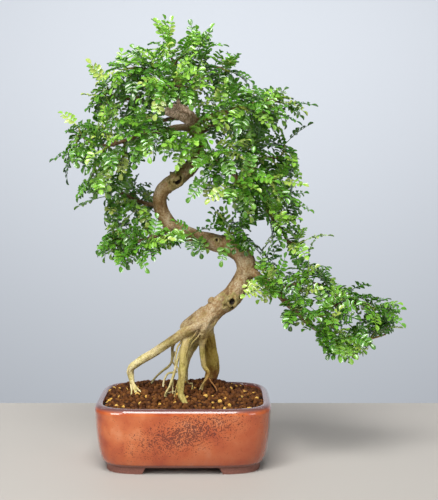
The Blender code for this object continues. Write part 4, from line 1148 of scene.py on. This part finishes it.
def add_shoot(mesh, shoot):
    """A green stem that thins towards its end leaf; returns its tints."""
    start = 0 if shoot.forked else max(shoot.leaves_at - 1, 0)
    rows = shoot.rows[start:].copy()
    rows[-1, 3] *= STEM_TAPER
    return [STEM_TINT] * pour(mesh, grow_rod(rows, STEM_SIDES))


def foliage_object(name, stems, leaves, forms, draw):
    """One piece of stems and leaves; faces of stems take the second finish."""
    mesh = bmesh.new()
    mesh.loops.layers.uv.new("blade")
    tints = []
    for shoot in stems:
        tints += add_shoot(mesh, shoot)
    for face in mesh.faces:
        face.material_index = 1
    for leaf in leaves:
        tints += add_leaf(mesh, leaf, forms, draw)
    for face in mesh.faces:
        face.smooth = True
    thing = new_object(name, mesh)
    store(thing, tint=tints)
    return thing


def make_foliage(sprays, end_leaves, room, finishes):
    """Every spray in full leaf, and the leaves that grow straight from the limbs."""
    draw = random.Random(SEED + 1)
    forms = leaf_forms()
    open_air(room)
    grown = {}
    for name, shoots in sprays.items():
        grown[name] = list(end_leaves[name])
        for shoot in shoots:
            grown[name] += shoot_leaves(shoot, room, draw)
    spurs = reaching_leaves(sprays, room, draw) + spur_leaves(room, draw)
    for name, shoots in sprays.items():
        young = name in YOUNG_SPRAYS
        piece = foliage_object("leafy_" + name, shoots, grown[name], forms, draw)
        blade = finishes["young"] if young else finishes["leaf"]
        settle(piece, [blade, finishes["stem"]], "young_leaf" if young else "leaf", name)
    piece = foliage_object("leafy_limbs", [], spurs, forms, draw)
    settle(piece, [finishes["leaf"], finishes["stem"]], "leaf")


# Pot

def pot_plan(vert, inward, height):
    """Carry a corner of a unit circle onto the pot's plan at one height."""
    power = 2 / POT_SQUARENESS
    vert.co = (math.copysign(abs(vert.co.x) ** power, vert.co.x) * (POT_HALF_LENGTH - inward),
               math.copysign(abs(vert.co.y) ** power, vert.co.y) * (POT_HALF_WIDTH - inward),
               height)


def turned_ring(profile, closed):
    """A skin round the pot: a circle extruded for each row of a profile, then put on its plan."""
    mesh = bmesh.new()
    still = Matrix.Identity(4)
    rings, ends = extrude_rings(mesh, POT_ROUND, still, [still] * (len(profile) - 1))
    for ring, (inward, height) in zip(rings, profile):
        for vert in ring:
            pot_plan(vert, inward, height)
    if closed:
        bmesh.ops.bridge_loops(mesh, edges=ends)
    else:
        bmesh.ops.holes_fill(mesh, edges=ends, sides=0)
    bmesh.ops.recalc_face_normals(mesh, faces=mesh.faces[:])
    return mesh


def cut(thing, shape, operation="DIFFERENCE"):
    """Take a shape out of a body for good, or join it on."""
    other = new_object("cutter", shape)
    boolean = thing.modifiers.new("cut", "BOOLEAN")
    boolean.object = other
    boolean.operation = operation
    boolean.solver = "EXACT"
    bake_modifiers(thing)
    bpy.data.objects.remove(other)


def arch(half_gap, beyond, turn):
    """What is cut from the foot ring between two feet, wider at its top than at the ground."""
    mesh = bmesh.new()
    size = Matrix.Diagonal((2 * half_gap, 2 * beyond, ARCH_TALL, 1))
    bmesh.ops.create_cube(mesh, size=1, matrix=size)
    lean = ARCH_LEAN * ARCH_TALL / 2
    for vert in mesh.verts:
        vert.co.x += math.copysign(lean, vert.co.x) * math.copysign(1, -vert.co.z)
    bmesh.ops.rotate(mesh, verts=mesh.verts, cent=(0, 0, 0), matrix=Matrix.Rotation(turn, 3, "Z"))
    return mesh


def make_feet():
    """Four corner feet: a ring under the pot with an arch cut through each of its sides."""
    feet = new_object("feet", turned_ring([(FOOT_OUTSIDE, 0), (FOOT_OUTSIDE, FOOT_ROOT),
                                           (FOOT_INSIDE, FOOT_ROOT), (FOOT_INSIDE, 0)], True))
    beyond = POT_HALF_LENGTH + 20 * MM
    cut(feet, arch(FRONT_ARCH, beyond, 0))
    cut(feet, arch(SIDE_ARCH, beyond, math.pi / 2))
    bevel = feet.modifiers.new("soften", "BEVEL")
    bevel.width = FOOT_EDGE
    bevel.segments = 2
    bevel.limit_method = "ANGLE"
    bake_modifiers(feet)
    mesh = bmesh.new()
    mesh.from_mesh(feet.data)
    bpy.data.objects.remove(feet)
    return mesh


def make_pot(glaze, clay):
    """The pot as thrown and cut: a rounded wall, four corner feet and two drain holes."""
    rows = smooth([numpy.array((inward, height, 0, 0)) * MM for inward, height in POT_PROFILE],
                  PROFILE_STEP)
    pot = new_object("glazed_pot", turned_ring([(row[0], row[1]) for row in rows], False))
    cut(pot, make_feet(), "UNION")
    for x in (-DRAIN_X, DRAIN_X):
        drill = bmesh.new()
        bmesh.ops.create_cone(drill, cap_ends=True, segments=32, radius1=DRAIN_RADIUS,
                              radius2=DRAIN_RADIUS, depth=4 * FLOOR_TOP,
                              matrix=Matrix.Translation((x, 0, FLOOR_TOP)))
        cut(pot, drill)
    for face in pot.data.polygons:
        low = min(pot.data.vertices[index].co.z for index in face.vertices)
        lining = face.normal.z > -0.2 and inside_pot(face.center.x, face.center.y, LINING_EDGE)
        bare = low < GLAZE_EDGE or (lining and face.center.z < GLAZE_INSIDE)
        face.material_index = 1 if bare else 0
    pot.data.shade_smooth()
    pot.data.set_sharp_from_angle(angle=math.radians(40))
    settle(pot, [glaze, clay], "glazed_stoneware", "pot")


# Soil

def pot_shares(x, y):
    """How far out a place lies along the pot and across it."""
    return min(1, abs(x) / POT_HALF_LENGTH), min(1, abs(y) / POT_HALF_WIDTH)


def soil_height(x, y):
    """Heaped towards the middle, level at the wall."""
    along, across = pot_shares(x, y)
    return SOIL_EDGE + SOIL_RISE * (1 - along ** 2) * (1 - across ** 2)


def inside_pot(x, y, margin):
    """Whether a place on the soil is at least this far inside the pot's wall."""
    far = abs(x / (POT_HALF_LENGTH - margin)) ** POT_SQUARENESS
    wide = abs(y / (POT_HALF_WIDTH - margin)) ** POT_SQUARENESS
    return far + wide < 1


def soft_step(share):
    """From nought to one, eased at both ends."""
    share = min(1, max(0, share))
    return share * share * (3 - 2 * share)


def heap_height(x, y):
    """The top of the grains, heaped towards the back and round the right leg."""
    along, across = pot_shares(x, y)
    front, back = HEAP_BACK
    left, right = HEAP_RIGHT
    behind = soft_step((y - front) / (back - front)) * soft_step((right - x) / (right - left))
    behind *= (1 - across ** 8) * (1 - along ** 3)
    away = math.hypot(x - LEG_HEAP[0], y - LEG_HEAP[1]) / LEG_HEAP_REACH
    return soil_height(x, y) + HEAP_RISE * behind + LEG_HEAP_RISE * math.exp(-away ** 2)


def make_heap(finish):
    """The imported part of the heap, just under its loose grains."""
    rings = [(inward * MM, SOIL_EDGE) for inward in HEAP_RINGS]
    mesh = turned_ring([(rings[0][0], HEAP_FOOT)] + rings, False)
    for vert in mesh.verts:
        if vert.co.z > (HEAP_FOOT + SOIL_EDGE) / 2:
            vert.co.z = heap_height(vert.co.x, vert.co.y) - HEAP_DEPTH
    heap = new_object("soil_heap", mesh)
    heap.data.shade_smooth()
    settle(heap, [finish], "akadama_soil")


def grain_forms(draw):
    """A few kinds of grain: pebbles with dented sides."""
    forms = []
    for kind in range(GRAIN_KINDS):
        mesh = bmesh.new()
        bmesh.ops.create_cube(mesh, size=1)
        bmesh.ops.subdivide_edges(mesh, edges=mesh.edges[:], cuts=1, use_grid_fill=True)
        offset = Vector((kind * 7.3, 2.1, -kind))
        for vert in mesh.verts:
            ball = vert.co.normalized()
            vert.co = ball * (1 + GRAIN_DENTS * noise.noise(ball * 1.1 + offset))
        stretch = [draw.uniform(*GRAIN_STRETCH) for _ in range(3)]
        bmesh.ops.scale(mesh, vec=stretch, verts=mesh.verts)
        forms.append(mesh_data("grain_form", mesh))
    return forms


def grain_places(draw):
    """Where the grains lie: over the whole surface, but not where a root enters."""
    rooted = [numpy.array(route[-1]) * MM for route in ROOTS.values()]
    row_pitch = GRAIN_PITCH * GRAIN_ROWS
    rows = int(2 * POT_HALF_WIDTH / row_pitch)
    columns = int(2 * POT_HALF_LENGTH / GRAIN_PITCH)
    places = []
    for row in range(rows):
        for column in range(columns):
            x = (column + 0.5 * (row % 2) - columns / 2) * GRAIN_PITCH
            y = (row - rows / 2) * row_pitch
            x += draw.uniform(-GRAIN_STRAY, GRAIN_STRAY) * GRAIN_PITCH
            y += draw.uniform(-GRAIN_STRAY, GRAIN_STRAY) * GRAIN_PITCH
            clear = all(math.hypot(x - root[0], y - root[1]) > root[3] for root in rooted)
            if clear and inside_pot(x, y, GRAIN_EDGE):
                places.append((x, y))
    return places


def make_grains(finish):
    """The loose baked-clay grains on top of the soil, most of them dark and a few pale."""
    draw = random.Random(SEED + 2)
    forms = grain_forms(draw)
    mesh = bmesh.new()
    tints = []
    for x, y in grain_places(draw):
        pale = draw.random() < PALE_SHARE
        radius = draw.triangular(*GRAIN_SIZES, GRAIN_SIZES[pale] * (0.9 if pale else 1.25))
        height = heap_height(x, y) + draw.uniform(*GRAIN_LIFTS) + 0.3 * radius
        angle = draw.uniform(0, 6.28)
        axis = Vector((draw.uniform(-1, 1), draw.uniform(-1, 1), 1))
        turn = Matrix.Rotation(angle, 4, axis)
        place = Matrix.Translation((x, y, height)) @ turn @ Matrix.Scale(radius, 4)
        tint = draw.random()
        tint = PALE_TINTS + (1 - PALE_TINTS) * tint if pale else DARK_TINTS * tint
        tints += [tint] * add_form(mesh, draw.choice(forms), place)
    grains = new_object("soil_grains", mesh)
    grains.data.shade_smooth()
    store(grains, tint=tints)
    settle(grains, [finish], "akadama_soil")


# Materials

def add(tree, kind, inputs=None, settings=None, stops=None):
    """Add one node: what each socket holds or is fed by, its settings, and its ramp's stops."""
    node = tree.nodes.new("ShaderNode" + kind)
    for name, value in (settings or {}).items():
        setattr(node, name, value)
    for name, value in (inputs or {}).items():
        if isinstance(value, bpy.types.NodeSocket):
            tree.links.new(value, node.inputs[name])
        else:
            node.inputs[name].default_value = value
    for number, (position, code) in enumerate(stops or []):
        if number > 1:
            node.color_ramp.elements.new(position)
        node.color_ramp.elements[number].position = position
        node.color_ramp.elements[number].color = srgb(code)
    return node


def every(size):
    """A pattern's scale, from the real size in millimetres of what repeats in it."""
    return 1 / (size * MM)


def new_finish(name, values):
    """A material with one surface shader, and these values on it."""
    finish = bpy.data.materials.new(name)
    finish.use_nodes = True
    shader = finish.node_tree.nodes["Principled BSDF"]
    for socket, value in values.items():
        shader.inputs[socket].default_value = value
    return finish, finish.node_tree, shader


def from_pot(tree):
    """Places measured from the middle of the pot."""
    place = add(tree, "TexCoord").outputs["Object"]
    return add(tree, "VectorMath", {0: place, 1: POT_CENTRE}, {"operation": "SUBTRACT"}).outputs[0]


def layer(tree, below, above, masks, most=1.0, blend="MIX"):
    """Lay one colour over another, where all masks count.

    A mask is a value, where it starts to count, and where it counts in full."""
    share = most
    for value, start, full in masks:
        count = add(tree, "MapRange", {"Value": value, "From Min": start, "From Max": full})
        share = add(tree, "Math", {0: share, 1: count.outputs[0]},
                    {"operation": "MULTIPLY"}).outputs[0]
    return add(tree, "Mix", {0: share, 6: below, 7: above},
               {"data_type": "RGBA", "blend_type": blend}).outputs[2]


def dress(tree, shader, colour, height=None, strength=0.0, depth=0.0):
    """Give a shader its colour and, where there is a height, a fine relief this many mm deep."""
    tree.links.new(colour, shader.inputs["Base Color"])
    if height is not None:
        relief = add(tree, "Bump", {"Height": height, "Strength": strength,
                                    "Distance": depth * MM})
        tree.links.new(relief.outputs[0], shader.inputs["Normal"])


def glazed_stoneware():
    """Copper-orange glaze over red-brown stoneware.

    Fired glaze is a clear glass with colour in its depth: a mirror-smooth coat over a soft sheen.
    It runs thin over the lip, where the clay shows mauve-brown, and pools in blotches some 40 mm
    wide. Iron in the clay breaks through as specks under 2 mm wide, in a band on each long side."""
    finish, tree, shader = new_finish("glazed_stoneware", {
        "Metallic": 0.0, "Coat Weight": 1.0, "Coat Roughness": 0.05, "Specular IOR Level": 0.3})
    place = from_pot(tree)
    height = add(tree, "SeparateXYZ", {0: place}).outputs["Z"]
    blotch = add(tree, "TexNoise", {"Vector": place, "Scale": every(41.67), "Detail": 4.0,
                                    "Roughness": 0.55}).outputs["Fac"]
    body = add(tree, "ValToRGB", {0: blotch}, stops=[
        (0.3, "983C1A"), (0.45, "B25428"), (0.58, "C06636"), (0.72, "CC8258")]).outputs[0]
    # Redder and darker towards the right end of the wall and down at its foot
    slant = add(tree, "VectorMath", {0: place, 1: (5.0, 0.0, -9.0)}, {"operation": "DOT_PRODUCT"})
    drift = add(tree, "Math", {0: slant.outputs["Value"], 1: blotch}, {"operation": "ADD"})
    # Specks: cells broken up by noise, and thinning out from the middle of a tilted oval band
    cells = add(tree, "TexVoronoi", {"Vector": place, "Scale": every(1.724)})
    breakup = add(tree, "TexNoise", {"Vector": place, "Scale": every(3.333), "Detail": 2.0})
    dots = add(tree, "Math", {0: breakup.outputs["Fac"], 1: cells.outputs["Distance"]},
               {"operation": "SUBTRACT"})
    tilted = add(tree, "Mapping", {"Vector": place, "Rotation": (0, 0.26, 0)})
    band = add(tree, "VectorMath", {0: tilted.outputs[0], 1: (11.0, 0.0, 34.0),
                                    2: (-0.25, 0.0, -1.86)}, {"operation": "MULTIPLY_ADD"})
    reach = add(tree, "VectorMath", {0: band.outputs[0]}, {"operation": "LENGTH"})
    fade = add(tree, "MapRange", {"Value": reach.outputs["Value"], "From Min": 0.2,
                                  "From Max": 1.25, "To Min": 0.27, "To Max": -0.26})
    specks = add(tree, "Math", {0: dots.outputs[0], 1: fade.outputs[0]}, {"operation": "ADD"})
    colour = layer(tree, body, srgb("7F2C18"), [(drift.outputs[0], 0.1, 0.95)], 0.6)
    colour = layer(tree, colour, srgb("561E0E"), [(specks.outputs[0], 0.1, 0.22)], 0.85)
    # It draws back from its lower edge and leaves a dark line there
    colour = layer(tree, colour, srgb("54291E"),
                   [(height, GLAZE_EDGE + 2.6 * MM, GLAZE_EDGE + 0.8 * MM)], 0.8)
    colour = layer(tree, colour, srgb("684240"), [(height, *THIN_GLAZE)])
    dress(tree, shader, colour, blotch, 0.35, 0.6)
    sheen = add(tree, "MapRange", {"Value": height, "From Min": THIN_GLAZE[0],
                                   "From Max": THIN_GLAZE[1], "To Min": 0.24, "To Max": 0.42})
    tree.links.new(sheen.outputs[0], shader.inputs["Roughness"])
    return finish


def bare_stoneware():
    """Red-brown stoneware without glaze: vitrified, so dense and dull, with a fine sandy tooth."""
    finish, tree, shader = new_finish("bare_stoneware", {"Metallic": 0.0, "Roughness": 0.62})
    sand = add(tree, "TexNoise", {"Vector": from_pot(tree), "Scale": every(1.429),
                                  "Detail": 3.0}).outputs["Fac"]
    body = add(tree, "ValToRGB", {0: sand}, stops=[(0.3, "70443A"), (0.7, "8C5B4D")])
    dress(tree, shader, body.outputs[0], sand, 0.5, 0.3)
    return finish


def living_bark():
    """Thin bark over living wood: dull, finely pitted, pale and yellowish over the roots.

    Roots that have been raised out of the soil keep a smooth yellow-green skin; the trunk
    weathers to a pale grey tan, and the thin wood of the crown stays dark brown. Its mottling is
    some 16 mm wide and its pits some 2 mm."""
    finish, tree, shader = new_finish("bark", {"Metallic": 0.0, "Roughness": 0.72,
                                               "Specular IOR Level": 0.3})
    place = from_pot(tree)
    x, y, z = add(tree, "SeparateXYZ", {0: place}).outputs
    patches = add(tree, "TexNoise", {"Vector": place, "Scale": every(16.13), "Detail": 6.0,
                                     "Roughness": 0.68}).outputs["Fac"]
    pits = add(tree, "TexNoise", {"Vector": place, "Scale": every(2.381), "Detail": 4.0,
                                  "Roughness": 0.65}).outputs["Fac"]
    girth, relief, hollow = (add(tree, "Attribute", settings={"attribute_name": name})
                             .outputs["Fac"] for name in ("girth", "relief", "hollow"))
    trunk = add(tree, "ValToRGB", {0: patches}, stops=[
        (0.3, "6C5630"), (0.44, "927A52"), (0.62, "B4A484")]).outputs[0]
    root = add(tree, "ValToRGB", {0: patches}, stops=[
        (0.3, "A29C58"), (0.44, "CDC080"), (0.62, "E4D6A6")]).outputs[0]
    pitted = add(tree, "Math", {0: relief, 1: pits}, {"operation": "MULTIPLY"}).outputs[0]
    low_bark_darker = add(tree, "ValToRGB", {0: pitted}, stops=[
        (0.08, "908470"), (0.18, "DDD6C8"), (0.3, "FFFFFF")]).outputs[0]
    knot_tones = add(tree, "ValToRGB", {0: hollow}, stops=[
        (0.2, "9A9155"), (0.5, "4E3F24"), (0.9, "241A10")]).outputs[0]
    drift = add(tree, "Math", {0: patches, 1: 70 * MM, 2: z},
                {"operation": "MULTIPLY_ADD"}).outputs[0]
    from_break = add(tree, "VectorMath", {0: place, 1: Vector(BROKEN_LIMB) * MM},
                     {"operation": "DISTANCE"}).outputs["Value"]
    up_the_trunk = (drift, 178 * MM, 240 * MM)
    at_the_legs = (z, 186 * MM, 168 * MM)
    on_the_right = (x, 20 * MM, 32 * MM)
    at_the_front = (y, -8 * MM, -22 * MM)
    colour = layer(tree, root, trunk, [up_the_trunk])
    # Painted shade: the right leg stands in the others' shade, so it is darkened and turned olive
    # here; it is also stained brown where the soil wets it
    colour = layer(tree, colour, srgb("EDE0A6"), [on_the_right, at_the_legs], blend="MULTIPLY")
    colour = layer(tree, colour, srgb("986A38"), [on_the_right, (drift, 158 * MM, 142 * MM)])
    # The front leg keeps a film of green, as shaded skin does
    colour = layer(tree, colour, srgb("D1CCAB"), [at_the_front, at_the_legs], blend="MULTIPLY")
    # Thin wood, but not thin roots
    colour = layer(tree, colour, srgb("54402A"), [(girth, 0.42, 0.12), up_the_trunk], 0.85)
    # Where a limb was broken off in the crown the bare wood is pale and pinkish; its colour is
    # painted paler still, as painted light against the shade of the crown
    colour = layer(tree, colour, srgb("F2D6BE"), [(from_break, 30 * MM, 20 * MM)])
    # The bark is darker in its grooves and pits and lightest on its ridges
    colour = layer(tree, colour, low_bark_darker, [], 0.85, "MULTIPLY")
    # Freckles of cork, about 2 mm wide, break through the thin grey skin of the trunk
    colour = layer(tree, colour, srgb("7E5630"), [(pits, 0.55, 0.42), up_the_trunk], 0.6)
    # Knots: green-tan at their rims, darkening to near black at the middle of their hollows
    colour = layer(tree, colour, knot_tones, [(hollow, 0.05, 0.4)])
    dress(tree, shader, colour, pits, 0.6, 0.7)
    return finish


def living_leaf(name, greens, glow):
    """A leaf's blade: a waxy skin over green flesh that passes some light.

    The wax gives it a sharp-edged sheen, the flesh a soft yellow-green glow against the light.
    A pale rib runs down the middle of each leaflet, and older leaflets are darker."""
    finish, tree, shader = new_finish(name, {
        "Metallic": 0.0, "Roughness": 0.36, "Coat Weight": 0.8, "Coat Roughness": 0.16,
        "Subsurface Weight": 0.15, "Subsurface Radius": glow, "Subsurface Scale": 1.2 * MM})
    place = add(tree, "TexCoord").outputs["Object"]
    tint = add(tree, "Attribute", settings={"attribute_name": "tint"})
    cloud = add(tree, "TexNoise", {"Vector": place, "Scale": every(16.67), "Detail": 3.0})
    age = add(tree, "Math", {0: cloud.outputs["Fac"], 1: 0.5, 2: tint.outputs["Fac"]},
              {"operation": "MULTIPLY_ADD"})
    flesh = add(tree, "ValToRGB", {0: age.outputs[0]}, stops=greens)
    blade = add(tree, "UVMap", settings={"uv_map": "blade"})
    across = add(tree, "SeparateXYZ", {0: blade.outputs[0]}).outputs["Y"]
    to_side = add(tree, "Math", {0: across, 1: 0.5}, {"operation": "SUBTRACT"})
    off_rib = add(tree, "Math", {0: to_side.outputs[0]}, {"operation": "ABSOLUTE"})
    dress(tree, shader, layer(tree, flesh.outputs[0], srgb("98B648"),
                              [(off_rib.outputs[0], 0.07, 0.02)], 0.5))
    return finish


def green_stem():
    """Soft new growth: smooth yellow-green skin with a slight sheen."""
    finish, tree, shader = new_finish("green_stem", {"Metallic": 0.0, "Roughness": 0.5})
    place = add(tree, "TexCoord").outputs["Object"]
    cloud = add(tree, "TexNoise", {"Vector": place, "Scale": every(33.33), "Detail": 2.0})
    skin = add(tree, "ValToRGB", {0: cloud.outputs["Fac"]},
               stops=[(0.35, "585E1C"), (0.65, "8E9C34")])
    dress(tree, shader, skin.outputs[0])
    return finish


def akadama_grains():
    """Grains of baked volcanic clay: porous and wet inside, so dark, dull and crumbly.

    Most are dark brown; about one in twenty-five is a pale yellow pumice grain."""
    finish, tree, shader = new_finish("akadama_grains", {"Metallic": 0.0, "Roughness": 0.8,
                                                         "Specular IOR Level": 0.25})
    place = add(tree, "TexCoord").outputs["Object"]
    tint = add(tree, "Attribute", settings={"attribute_name": "tint"})
    crumbs = add(tree, "TexNoise", {"Vector": place, "Scale": every(1.111),
                                    "Detail": 4.0}).outputs["Fac"]
    clay = add(tree, "ValToRGB", {0: tint.outputs["Fac"]}, stops=[
        (0.0, "3E1D04"), (0.35, "552E0A"), (0.7, "693D12"),
        (0.9, "7E5020"), (0.935, "CC9430"), (1.0, "E4BA60")])
    pores = add(tree, "ValToRGB", {0: crumbs}, stops=[(0.3, "CBC4BC"), (0.6, "FFFFFF")])
    colour = layer(tree, clay.outputs[0], pores.outputs[0], [], 1.0, "MULTIPLY")
    dress(tree, shader, colour, crumbs, 0.7, 0.5)
    return finish


def soil_in_painted_shade():
    """The grains below the surface, in the shade of those above, with that shade painted into their
    colour: dark, dull and broken up.
    """
    finish, tree, shader = new_finish("akadama_soil", {"Metallic": 0.0, "Roughness": 0.95,
                                                       "Specular IOR Level": 0.2})
    cells = add(tree, "TexVoronoi", {"Vector": from_pot(tree), "Scale": every(3.846)})
    clay = add(tree, "ValToRGB", {0: cells.outputs["Distance"]},
               stops=[(0.0, "2A1506"), (0.6, "0E0703")])
    dress(tree, shader, clay.outputs[0])
    return finish


def plain_finish(name, code, roughness):
    """One even colour."""
    return new_finish(name, {"Metallic": 0.0, "Base Color": srgb(code),
                             "Roughness": roughness})[0]


# Stage

def stage_plane(name, size, place, upright, finish):
    """A plain sheet: the floor, or the backdrop behind the tree."""
    mesh = bmesh.new()
    bmesh.ops.create_grid(mesh, x_segments=1, y_segments=1, size=size / 2)
    if upright:
        bmesh.ops.rotate(mesh, verts=mesh.verts, cent=(0, 0, 0),
                         matrix=Matrix.Rotation(math.pi / 2, 3, "X"))
    bmesh.ops.translate(mesh, verts=mesh.verts, vec=place)
    sheet = new_object(name, mesh)
    sheet.data.materials.append(finish)


def softbox(name, place, aim, size, power):
    """A large soft lamp that faces a point."""
    lamp = bpy.data.lights.new(name, "AREA")
    lamp.shape = "RECTANGLE"
    lamp.size, lamp.size_y = size
    lamp.energy = power
    thing = bpy.data.objects.new(name, lamp)
    bpy.context.scene.collection.objects.link(thing)
    thing.location = place
    thing.rotation_euler = (Vector(aim) - Vector(place)).to_track_quat("-Z", "Y").to_euler()


def make_stage():
    """A pale floor, a backdrop well behind it, soft lamps and a little light all round."""
    stage_plane("floor", FLOOR_SIZE, (0, FLOOR_END - FLOOR_SIZE / 2, 0), False,
                plain_finish("floor", "B0ABA4", 0.7))
    stage_plane("backdrop", BACKDROP_SIZE, BACKDROP_PLACE, True,
                plain_finish("backdrop", "CBD0D7", 0.9))
    for name, (place, aim, size, power) in LAMPS.items():
        softbox(name, place, aim, size, power)
    world = bpy.data.worlds.new("studio")
    world.use_nodes = True
    sky = world.node_tree.nodes["Background"].inputs
    sky["Color"].default_value = srgb("E3E6EC")
    sky["Strength"].default_value = ROOM_LIGHT
    bpy.context.scene.world = world


def make_camera():
    """A camera that stands where the photograph's did."""
    lens = bpy.data.cameras.new("camera")
    lens.sensor_width = SENSOR
    lens.lens = FOCAL_PIXELS * SENSOR / FRAME_LONG_SIDE
    camera = bpy.data.objects.new("camera", lens)
    bpy.context.scene.collection.objects.link(camera)
    camera.location = CAMERA_PLACE + POT_CENTRE
    camera.rotation_euler = (math.pi / 2 - CAMERA_DIP, 0, 0)
    bpy.context.scene.camera = camera


def main():
    bark = living_bark()
    sprays, room = grow_shoots()
    draw = random.Random(SEED)
    end_leaves = {name: [grow_end_leaf(shoot, room, draw) for shoot in shoots]
                  for name, shoots in sprays.items()}
    make_pot(glazed_stoneware(), bare_stoneware())
    # Painted shade: the soil block and the heap under the loose grains are coloured near black
    shaded_soil = soil_in_painted_shade()
    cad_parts["soil"].data.materials.clear()
    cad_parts["soil"].data.materials.append(shaded_soil)
    make_heap(shaded_soil)
    make_grains(akadama_grains())
    make_tree(sprays, bark)
    make_fine_roots(bark)
    finishes = {
        "leaf": living_leaf("leaf", LEAF_GREENS, (0.35, 1.0, 0.12)),
        "young": living_leaf("young_leaf", YOUNG_GREENS, (0.5, 1.0, 0.1)),
        "stem": green_stem()}
    make_foliage(sprays, end_leaves, room, finishes)
    make_stage()
    make_camera()
    bpy.context.scene.view_settings.view_transform = "Standard"


main()
